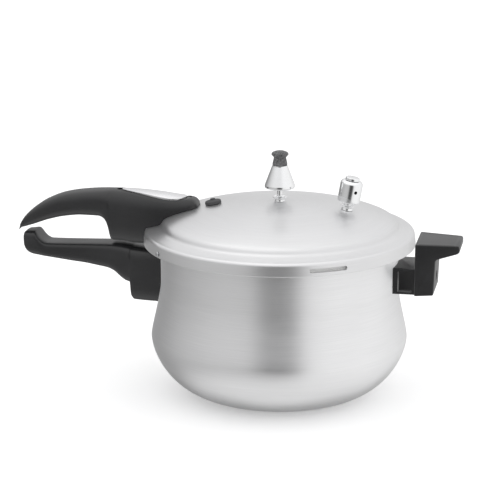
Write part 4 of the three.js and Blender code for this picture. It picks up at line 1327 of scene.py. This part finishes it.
@dataclass
class Lid:
    """Spun lid with its lugs, skirt window and holes; the ring that seals it is made separately."""

    form: LidForm
    window: Pair = (-68.2, -52.1)
    window_lift: float = 3.1
    window_height: float = 3.6
    stud_turn: float = -141.0
    stud_lift: float = 3.4
    lug_arc: float = 28.0
    lug_reach: float = 109.5
    lug_height: float = 2.2

    def _window(self) -> Shape:
        """Slot with round ends, cut straight through the skirt."""
        half = self.window_height / 2
        long = math.radians(self.window[1] - self.window[0]) * self.form.radius / 2 - half
        outline = []
        for k in range(24):
            turn = math.tau * (k + 0.5) / 24
            side = long if math.cos(turn) > 0 else -long
            outline.append((side + half * math.cos(turn), half * math.sin(turn)))
        height = self.form.edge + self.window_lift + half
        face = outward(sum(self.window) / 2, 0, height)
        slot = Shape.pressed("window", outline, self.form.radius - 8, self.form.radius + 5)
        return slot.moved(face @ spun(90, "Z"))

    def stud_frame(self) -> Matrix:
        """Frame of the stud on the inside of the skirt."""
        return outward(self.stud_turn, self.form.radius - WALL, self.form.edge + self.stud_lift)

    def build(self, drills: Sequence[Shape]) -> None:
        """Makes the shell and the stud in its skirt.

        Args:
            drills: Holes for the valves and screws.
        """
        form = self.form
        outline = form.outline()
        ceiling = offset(outline[11:], -WALL)
        inside, roof = form.radius - WALL, form.edge + form.flange - WALL
        profile = filleted([
            (form.radius - WALL / 2, form.edge), (form.radius, form.edge, 0.9), *outline[1:],
            *reversed(ceiling), (inside - form.flare, roof, 0.4), (inside, form.edge, 0.9),
            (form.radius - WALL / 2, form.edge)
        ])
        shell = Shape.revolved("lid_shell_spun", profile, 192)
        section = rectangle(self.lug_reach, form.radius - WALL / 2, form.edge, form.edge + self.lug_height)
        lugs = [
            Shape.swept("lug", section, 90 * k, self.lug_arc).rounded(0.6, angle=40) for k in range(4)
        ]
        stud_hole = Shape.drill(1.5, -1, WALL + 1).moved(self.stud_frame())
        shell.joined(*lugs).cut(self._window(), stud_hole, *drills)
        shell.finished(LID_METAL, Body.LID, "lid_shell")
        stud = filleted(
            [(0, GAP), (1.2, GAP), (1.2, 3.3), (2.1, 3.3, 0.1), (2.1, 3.7, 0.3), (1.2, 4.3, 0.8), (0, 4.3)]
        )
        made = Shape.revolved("skirt_stud_upset", stud, 40).moved(self.stud_frame())
        made.finished(ZINC, Body.LID, "skirt_stud")


@dataclass
class SealingRing:
    """Rubber ring between the rim and the flange, with a lip that hangs outside the rim."""

    lid: LidForm
    pot: PotForm

    def build(self) -> None:
        """Makes the ring."""
        outside = self.lid.radius - WALL - self.lid.flare - 2 * GAP
        inside = self.lid.radius - WALL - 14.0
        under = self.pot.rim + GAP
        top, foot, lip = under + 2.6, under - 3.0, outside - 2.1
        middle = (inside + lip) / 2
        profile = filleted([
            (middle, under), (lip, under, 0.5), (lip, foot, 0.7), (outside, foot, 0.7),
            (outside, top, 0.8), (middle + 2.5, top, 0.3), (middle + 1.8, top - 0.7, 0.3),
            (middle + 0.8, top - 0.7, 0.3), (middle + 0.1, top, 0.3), (inside, top, 0.9),
            (inside, under, 0.9), (middle, under)
        ], 4)
        made = Shape.revolved("sealing_ring_moulded", profile, 160)
        made.finished(RING, Body.RING, "sealing_ring")


@dataclass
class LidHandle:
    """Long handle of the lid with its metal inlay, strap, screws and washers."""

    lid: LidForm
    fasteners: Fasteners
    stations: list[Pair] = field(
        default_factory=lambda: [
            (117.8, 0.2, 1.4, 2.5), (115.9, 2.2, 6.6, 6), (110.9, 3.9, 14.2, 9.5), (102, 6.9, 22.4, 12),
            (90, 11.3, 30.1, 13.5), (74, 15.3, 36.3, 14.3), (58, 17.1, 39.3, 14.8),
            (43, 16.9, 40.8, 15.2), (39.2, 15.7, 41, 15.4), (36, 12.6, 41.2, 15.6),
            (33.8, 7.4, 41.3, 15.8), (32.4, 1.8, 41.4, 16), (31.2, -4.2, 41.5, 16.1),
            (29, -4.9, 41.6, 16.3), (20, -5.2, 41.6, 17), (11, -6.6, 41.2, 17.6), (-3, -6.6, 40.4, 18),
            (-15, -6.6, 39.4, 17.6), (-27, 0, 38, 16.4), (-35, 6, 37.2, 14.8), (-41.6, 16, 36.5, 12.8),
            (-44.4, 21, 35.2, 11.4), (-46.2, 24, 33, 9.6), (-47.6, 26, 30, 6)
        ]
    )
    teardrop: list[Pair] = field(
        default_factory=lambda: [
            (22, 0), (20.6, 2.6), (16, 4.8), (7, 7.2), (-2, 9.1), (-10, 10.3), (-18, 10.9), (-25, 10.6),
            (-30.5, 8.8), (-34.6, 5.2), (-36.4, 0)
        ]
    )
    inlay_thickness: float = 1.4
    inlay_proud: float = 0.4
    groove_from: float = 3.4
    groove_to: float = 4.6
    groove_depth: float = 1.0
    bolt_out: float = 16.0
    front_inset: float = 28.0
    underside: float = -6.6
    counterbore: float = 8.2
    tongue: Pair = (4.6, 7.4)

    def _prism(self, growth: float) -> Shape:
        """Upright prism over the inlay, grown by a clearance."""
        lower = [(out, -y) for out, y in reversed(self.teardrop[1:-1])]
        pivot = self.lid.radius - 6
        points = []
        for out, y in self.teardrop + lower:
            x = pivot - self.lid.radius - out
            share = 1 + growth / math.hypot(x, y)
            points.append((x * share - pivot, y * share))
        loop = smooth_loop(points)
        return Shape.pressed("inlay", loop, self.lid.edge + 12, self.lid.edge + 60)

    def _strap(self, growth: float) -> Shape:
        """Strap on the skirt and the tongue that runs into the handle, toward -X."""
        near, edge = self.lid.radius + GAP, self.lid.edge
        section = rectangle(near - growth, near + 2.5 + growth, edge + 1.5 - growth, edge + 8 + growth)
        wider = math.degrees(2 * growth / self.lid.radius)
        band = Shape.swept("strap", section, 180, 14 + wider).rounded(0.4)
        half = 8 + growth
        arm = Shape.box(
            "tongue", (-near - 26 - growth, -half, edge + self.tongue[0] - growth),
            (-near - 1.25, half, edge + self.tongue[1] + growth)
        )
        return band.joined(arm.rounded(0.4))

    @property
    def front(self) -> Matrix:
        """Frame of the front screw on the lid."""
        return self.lid.station(self.front_inset, -1)

    def drills(self) -> list[Shape]:
        """Hole that the handle needs through the lid."""
        return [Shape.drill(self.fasteners.hole, -10, 3).moved(self.front)]

    def build(self) -> None:
        """Makes the handle, its inlay, strap, screws and washers."""
        bolt = -self.lid.radius - self.bolt_out
        floor = self.lid.edge + self.underside + self.counterbore
        head, hole = self.fasteners.head_radius + GAP, self.fasteners.hole
        plain = LongHandle(self.lid, self.stations, 3.0, 2.6).shape("lid_handle_moulded")
        pocket = self._prism(GAP).cut(plain.copy(shifted(z=-self.inlay_thickness - GAP)))
        groove = self._prism(self.groove_to).cut(
            self._prism(self.groove_from), plain.copy(shifted(z=-self.groove_depth))
        )
        plate = self._prism(0).kept(plain.copy(shifted(z=self.inlay_proud)))
        plate.cut(plain.copy(shifted(z=-self.inlay_thickness)))
        plate.thing.name = "lid_handle_inlay_pressed"
        plate.rounded(0.25, 2, 45).finished(INLAY, Body.LID, "lid_handle_inlay")
        plain.cut(
            pocket, groove, self.lid.envelope(GAP), self._strap(GAP),
            Shape.drill(head, floor - self.counterbore - 5, floor).moved(shifted(bolt)),
            Shape.drill(hole, floor - 1, self.lid.edge + self.tongue[1] + 8).moved(shifted(bolt)),
            Shape.drill(hole, -5, 8 + GAP).moved(self.front)
        )
        plain.finished(PHENOLIC, Body.LID, "lid_handle")
        strap = self._strap(0)
        strap.thing.name = "lid_handle_bracket_pressed"
        strap.cut(Shape.drill(hole, self.lid.edge, self.lid.edge + 20).moved(shifted(bolt)))
        strap.finished(ZINC, Body.LID, "lid_handle_bracket")
        rear = shifted(bolt, 0, floor - 2 * GAP - self.fasteners.washer)
        length = self.tongue[1] + 5 + self.lid.edge - rear.translation.z / MM
        self.fasteners.screw("lid_handle_rear_screw", rear, length, Body.LID)
        section = (hole, self.fasteners.head_radius, GAP, GAP + self.fasteners.washer)
        self.fasteners.washer_ring("lid_handle_rear_washer", rear, section, ZINC, Body.LID)
        seal = (hole, 6.0, -WALL - GAP - SEAL, -WALL - GAP)
        self.fasteners.washer_ring("lid_handle_seal_washer", self.front, seal, PLUG, Body.LID)
        under = -WALL - 2 * GAP - SEAL
        self.fasteners.screw("lid_handle_front_screw", self.front @ shifted(z=under), 8 - under, Body.LID)


@dataclass
class Fitting:
    """Something fixed through a round hole in the lid."""

    lid: LidForm
    fasteners: Fasteners
    shank: float = 3.6

    @property
    def frame(self) -> Matrix:
        """Frame at the top of the dome."""
        return shifted(0, 0, self.lid.top)

    def drills(self) -> list[Shape]:
        """Its hole through the lid."""
        return [Shape.drill(self.shank + GAP, -10, 10).moved(self.frame)]

    def fastened(self, prefix: str, radius: float) -> None:
        """Makes the washer and the nut under the lid.

        Args:
            prefix: What the names of their CAD nodes begin with.
            radius: Outside of the washer and corners of the nut.
        """
        hole, seal = self.shank + GAP, WALL + GAP + SEAL
        washer = (hole, radius, -seal, -WALL - GAP)
        self.fasteners.washer_ring(f"{prefix}_seal_washer", self.frame, washer, PLUG, Body.LID)
        sizes = (hole, radius, -seal - GAP - NUT_HEIGHT, -seal - GAP)
        self.fasteners.nut(f"{prefix}_nut", self.frame, sizes, Body.LID)


@dataclass
class Vent(Fitting):
    """Vent tube at the centre of the lid, with its dished collar, washer and nut."""

    tube: float = 2.4
    bore: float = 1.0
    collar: float = 6.2
    length: float = 21.6
    foot: float = 4.6
    rise: float = 2.9
    nut: float = 6.5

    def build(self) -> None:
        """Makes the tube, washer and nut."""
        foot = -(WALL + GAP + SEAL) - GAP - 6
        profile = [
            (self.bore, foot), (self.shank, foot, 0.4), (self.shank, GAP), (self.foot, GAP),
            (self.foot - 0.6, self.rise - 0.5, 0.6), (self.collar, self.rise + 0.4, 0.3),
            (self.collar, self.rise + 1.2, 0.3), (self.collar - 0.8, self.rise + 1.6, 0.3),
            (3.4, self.rise + 0.8, 1.0), (self.tube, self.rise + 2.4, 1.0),
            (self.tube, self.length - 0.5, 0.4), (self.tube - 0.5, self.length, 0.3),
            (self.bore, self.length), (self.bore, foot)
        ]
        turned("vent_tube_turned", profile, CHROME, Body.LID, "vent_tube", self.frame, 64)
        self.fastened("vent", self.nut)


@dataclass
class Weight:
    """Conical chromed weight with its spindle and grained knob."""

    base: float = field(default_factory=lambda: reach("weight_body")[0].z)
    radius: float = 13.3
    top_radius: float = 6.9
    height: float = 20.4
    socket: float = 2.9
    socket_depth: float = 11.6
    spindle: float = 1.5
    tube_length: float = 21.6
    hang: float = 12.0
    knob_height: float = 12.6
    waist: float = 5.3
    crown: float = 7.6

    def build(self) -> None:
        """Makes the cone, spindle and knob."""
        frame = shifted(0, 0, self.base)
        bore = self.spindle + GAP
        cone = [
            (self.socket, 0), (self.radius, 0, 2.0), (self.radius, 2.6, 2.4),
            (self.top_radius + 0.12, self.height - 0.9, 0.8), (self.top_radius, self.height - 0.1, 0.25),
            (bore, self.height), (bore, self.socket_depth), (self.socket, self.socket_depth),
            (self.socket, 0)
        ]
        turned("weight_body_turned", cone, CHROME, Body.WEIGHT, "weight_body", frame, 96, 8)
        tip = self.tube_length - self.hang
        end = self.height + self.knob_height * 0.42
        rod = [
            (0, tip - 1), (0.5, tip - 0.2), (0.6, tip + GAP), (self.spindle + 0.8, tip + GAP, 0.2),
            (self.spindle + 0.8, self.socket_depth - GAP, 0.2), (self.spindle, self.socket_depth - GAP),
            (self.spindle, end, 0.3), (0, end)
        ]
        turned("weight_spindle_turned", rod, ZINC, Body.WEIGHT, "weight_spindle", frame, 40)
        foot, top = self.height + GAP, self.height + self.knob_height
        knob = [
            (0, end + GAP), (bore, end + GAP), (bore, foot), (self.top_radius - 0.3, foot, 0.4),
            (self.top_radius - 0.45, foot + 1.6, 0.8), (self.waist, top - 5.6, 1.6),
            (self.crown, top - 3.2, 0.6), (self.crown - 0.5, top - 1.5, 1.4),
            (self.crown * 0.55, top - 0.1, 6.0), (0, top)
        ]
        turned("weight_knob_moulded", knob, KNOB, Body.WEIGHT, "weight_knob", frame, 72, 7)


@dataclass
class ReliefValve(Fitting):
    """Spring-loaded relief valve on the right of the lid."""

    inset: float = 60.5
    collar: float = 6.0
    stem: float = 4.6
    shank: float = 4.2
    bore: float = 1.8
    seat: float = 11.4
    radius: float = 9.9
    lift: float = 7.7
    height: float = 19.2
    foot: float = 5.2
    rise: float = 2.9
    wall: float = 1.8
    shoulder: float = 3.2
    cap: float = 6.2
    cap_height: float = 2.4
    stud: float = 2.2
    nut: float = 7.5
    spring: float = 3.6
    wire: float = 0.45
    coils: int = 5
    disc: float = 1.7
    squeeze: float = 2.2

    @property
    def frame(self) -> Matrix:
        """Frame on the lid's surface."""
        return self.lid.station(self.inset, 1)

    def _housing(self) -> None:
        """Makes the housing with its steam hole."""
        low, high = self.lift, self.lift + self.height
        inner = self.radius - self.wall
        profile = filleted([
            (self.stem + GAP, low), (self.radius, low, 0.9), (self.radius, high, self.shoulder),
            (self.stud + GAP, high), (self.stud + GAP, high - self.wall), (inner, high - self.wall, 1.5),
            (inner, low + self.wall, 0.5), (self.stem + GAP, low + self.wall), (self.stem + GAP, low)
        ], 8)
        made = Shape.revolved("relief_housing_turned", profile, 96)
        hole = Shape.drill(1.5, 2, self.radius + 2).moved(outward(-55, 0, low + 10.7))
        made.cut(hole).moved(self.frame).finished(CHROME, Body.LID, "relief_housing")

    def _spring(self) -> None:
        """Makes the coil spring."""
        low = self.seat + 2 * GAP + self.disc + self.wire
        high = self.lift + self.height - self.wall - self.wire - GAP
        rings = []
        steps = self.coils * 30
        for k in range(steps + 1):
            turn = math.tau * self.coils * k / steps
            height = low + (high - low) * k / steps
            ring = []
            for j in range(10):
                around = math.tau * j / 10
                radius = self.spring + self.wire * math.cos(around)
                ring.append(
                    (radius * math.cos(turn), radius * math.sin(turn), height + self.wire * math.sin(around))
                )
            rings.append(list(reversed(ring)))
        made = Shape.lofted("relief_spring_coiled", rings).moved(self.frame)
        thing = made.finished(ZINC, Body.LID, "relief_spring")
        axis = (self.frame.to_3x3() @ Vector((0, 0, 1))).normalized()
        anchor = self.frame @ (Vector((0, 0, high + self.wire)) * MM)
        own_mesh(thing)

    def build(self) -> None:
        """Makes every piece of the valve."""
        foot = -(WALL + GAP + SEAL) - GAP - 5
        stem = [
            (self.bore, foot), (self.shank, foot, 0.4), (self.shank, GAP), (self.foot, GAP),
            (self.foot - 0.6, self.rise - 0.5, 0.6), (self.collar, self.rise + 0.4, 0.3),
            (self.collar, self.rise + 1.1, 0.3), (self.collar - 0.7, self.rise + 1.5, 0.3),
            (4.2, self.rise + 0.8, 0.6), (self.stem - 1.0, self.rise + 1.6, 0.5),
            (self.stem - 1.0, self.lift - 0.8, 0.4), (self.stem, self.lift - 0.4),
            (self.stem, self.seat, 0.3), (self.bore, self.seat), (self.bore, foot)
        ]
        turned("relief_stem_turned", stem, CHROME, Body.LID, "relief_stem", self.frame, 64)
        self.fastened("relief", self.nut)
        self._housing()
        self._spring()
        top = self.lift + self.height + GAP
        cap = [
            (0, top - 3.6), (self.stud, top - 3.6, 0.3), (self.stud, top), (self.cap, top, 0.2),
            (self.cap, top + self.cap_height, 0.5), (0, top + self.cap_height)
        ]
        turned("relief_cap_turned", cap, CHROME, Body.LID, "relief_cap", self.frame, 72)
        under = self.seat + GAP
        poppet = [
            (0, self.seat - 0.9), (self.bore - 0.6, self.seat), (self.bore - 0.5, under),
            (4.3, under, 0.3), (4.3, under + self.disc, 0.3), (self.stud - 1, under + self.disc),
            (self.stud - 1, under + 6.7, 0.3), (0, under + 6.7)
        ]
        turned("relief_poppet_turned", poppet, ZINC, Body.POPPET, "relief_poppet", self.frame, 40)


@dataclass
class SafetyPlug(Fitting):
    """Rubber safety plug on the left of the lid."""

    inset: float = 60.5
    radius: float = 7.25
    shank: float = 5.2
    height: float = 3.4
    nub: float = 2.25

    @property
    def frame(self) -> Matrix:
        """Frame on the lid's surface."""
        return self.lid.station(self.inset, -1)

    def build(self) -> None:
        """Makes the plug."""
        under, lip, top = -WALL - GAP, self.radius - 0.7, GAP + self.height
        profile = [
            (0, under - 2), (lip, under - 2, 1.2), (lip, under, 0.3), (self.shank, under),
            (self.shank, GAP), (self.radius, GAP, 0.4), (self.radius - 0.2, top - 0.8, 0.8),
            (self.nub + 1.6, top, 1.5), (self.nub, top, 0.4), (self.nub, top + 1.3, 0.7), (0, top + 1.3)
        ]
        turned("safety_plug_moulded", profile, PLUG, Body.LID, "safety_plug", self.frame, 72, 6)


# ------------------------------------------------------------------ studio


@dataclass
class Studio:
    """Pale floor, surrounding soft light and camera."""

    floor_half: float = 9.0
    eye: Pair = (0.3071, -1.8132, 0.6166)
    aim: Pair = (-0.03433, -0.00649, 0.13799)
    lens: float = 161.35
    gap: float = -1.0
    gap_half: float = 26.0
    gap_height: float = -0.1
    gap_reach: float = 0.55
    gap_depth: float = 0.85
    around: list[Pair] = field(
        default_factory=lambda: [
            (-180, 0.68), (-158, 0.31), (-132, 0.27), (-98, 0.43), (-60, 0.56), (-39, 0.56), (-19, 0.48),
            (-5, 0.44), (10, 0.52), (19, 0.70), (29, 0.90), (50, 1.0), (98, 1.0), (135, 0.86), (180, 0.68)
        ]
    )

    def _floor(self) -> None:
        """Lays the floor."""
        half = self.floor_half / MM
        corners = [(-half, -half, 0), (half, -half, 0), (half, half, 0), (-half, half, 0)]
        floor = Shape("floor", corners, [[0, 1, 2, 3]]).thing
        floor.data.materials.append(FLOOR.material())
        floor.visible_glossy = False

    def _world(self) -> None:
        """Lights the room by direction: a dark gap behind the camera, bright on the right."""
        world = bpy.data.worlds.new("studio")
        bpy.context.scene.world = world
        world.use_nodes = True
        graph = Graph(world.node_tree)
        facing = math.atan2(self.eye[1], self.eye[0])
        direction = graph.node("ShaderNodeTexCoord", output="Generated")
        turned = graph.node(
            "ShaderNodeVectorRotate", {"rotation_type": "Z_AXIS"}, {"Vector": direction, "Angle": -facing}
        )
        x, y, z = graph.split(turned)
        place = y.angle(x) * (1 / math.tau) + 0.5
        stops = [(angle / 360 + 0.5, grey) for angle, grey in self.around]
        round_about = graph.node("ShaderNodeValToRGB", {"stops": stops}, {"Fac": place})
        aside = place - (self.gap / 360 + 0.5)
        height = z - self.gap_height
        gap = (aside * aside).spread((self.gap_half / 360) ** 2, 0, 0, 1)
        gap = gap * (height * height).spread(self.gap_reach**2, 0, 0, 1)
        above = graph.mix(z.spread(-0.06, 0.7, 0, 1), round_about, (1.02, 1.02, 1.03, 1))
        zenith = graph.mix(z.spread(0.55, 0.95, 0, 1), above, (1.2, 1.2, 1.2, 1))
        darker = graph.mix(gap * self.gap_depth, zenith, (0.0, 0.0, 0.0, 1))
        below = graph.mix(z.spread(-0.55, -0.85, 0, 1), darker, (0.88, 0.88, 0.88, 1))
        under = x.spread(-0.12, -0.5, 0, 1) * z.spread(-0.35, -0.55, 0, 1)
        under = under * (y * y).spread(0.3, 0.02, 0, 1)
        light = graph.mix(under, below, (0.2, 0.2, 0.2, 1))
        glow = graph.node("ShaderNodeBackground", inputs={"Color": light, "Strength": 1.0})
        graph.node("ShaderNodeOutputWorld", inputs={"Surface": glow})

    def _softbox(self) -> None:
        """Hangs a wide soft light over the table."""
        light = bpy.data.lights.new("softbox", "AREA")
        light.shape = "RECTANGLE"
        light.size, light.size_y, light.energy = 1.8, 1.2, 1.2
        box = bpy.data.objects.new("softbox", light)
        box.location = (-0.4, -0.3, 1.7)
        box.rotation_euler = (Vector(box.location)).to_track_quat("Z", "Y").to_euler()
        bpy.context.scene.collection.objects.link(box)

    def _camera(self) -> None:
        """Sets the camera at a low three-quarter angle."""
        data = bpy.data.cameras.new("camera")
        data.lens, data.sensor_width = self.lens, 36.0
        camera = bpy.data.objects.new("camera", data)
        camera.location = self.eye
        look = Vector(self.aim) - Vector(self.eye)
        camera.rotation_euler = look.to_track_quat("-Z", "Y").to_euler()
        bpy.context.scene.collection.objects.link(camera)
        bpy.context.scene.camera = camera

    def build(self) -> None:
        """Sets up the studio."""
        self._floor()
        self._world()
        self._softbox()
        self._camera()
        bpy.context.scene.view_settings.view_transform = "Standard"


# ------------------------------------------------------------------ assembly


def main() -> None:
    """Builds the cooker round its frame."""
    logging.basicConfig(level=logging.INFO, format="%(name)s %(message)s")
    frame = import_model()
    LOG.info("%d CAD nodes", len(frame["nodes"]))
    lid, pot, fasteners = LidForm(), PotForm(), Fasteners()
    main_bracket = Bracket(
        prefix="pot_handle", side=-1, form=pot, skirt=lid.radius, low=lid.edge - 51, high=lid.edge - 25,
        boss=lid.edge - 47, rivets=lid.edge - 33, boss_length=11, face=11.5, counterbore=5.5,
        fasteners=fasteners
    )
    helper_bracket = Bracket(
        prefix="helper_handle", side=1, form=pot, skirt=lid.radius, low=lid.edge - 35,
        high=lid.edge - 15.5, boss=lid.edge - 24, rivets=lid.edge - 24, boss_length=16, face=20,
        counterbore=7, fasteners=fasteners
    )
    Pot(pot, [main_bracket, helper_bracket]).build()
    main_bracket.build()
    helper_bracket.build()
    PotHandle(lid, main_bracket).build()
    HelperHandle(lid, helper_bracket).build()
    SealingRing(lid, pot).build()
    handle, vent = LidHandle(lid, fasteners), Vent(lid, fasteners)
    relief, plug = ReliefValve(lid, fasteners), SafetyPlug(lid, fasteners)
    pieces: list[Any] = [handle, vent, relief, plug]
    Lid(lid).build([drill for piece in pieces for drill in piece.drills()])
    for piece in pieces:
        piece.build()
    Weight().build()
    Studio().build()


if __name__ == "__main__":
    main()
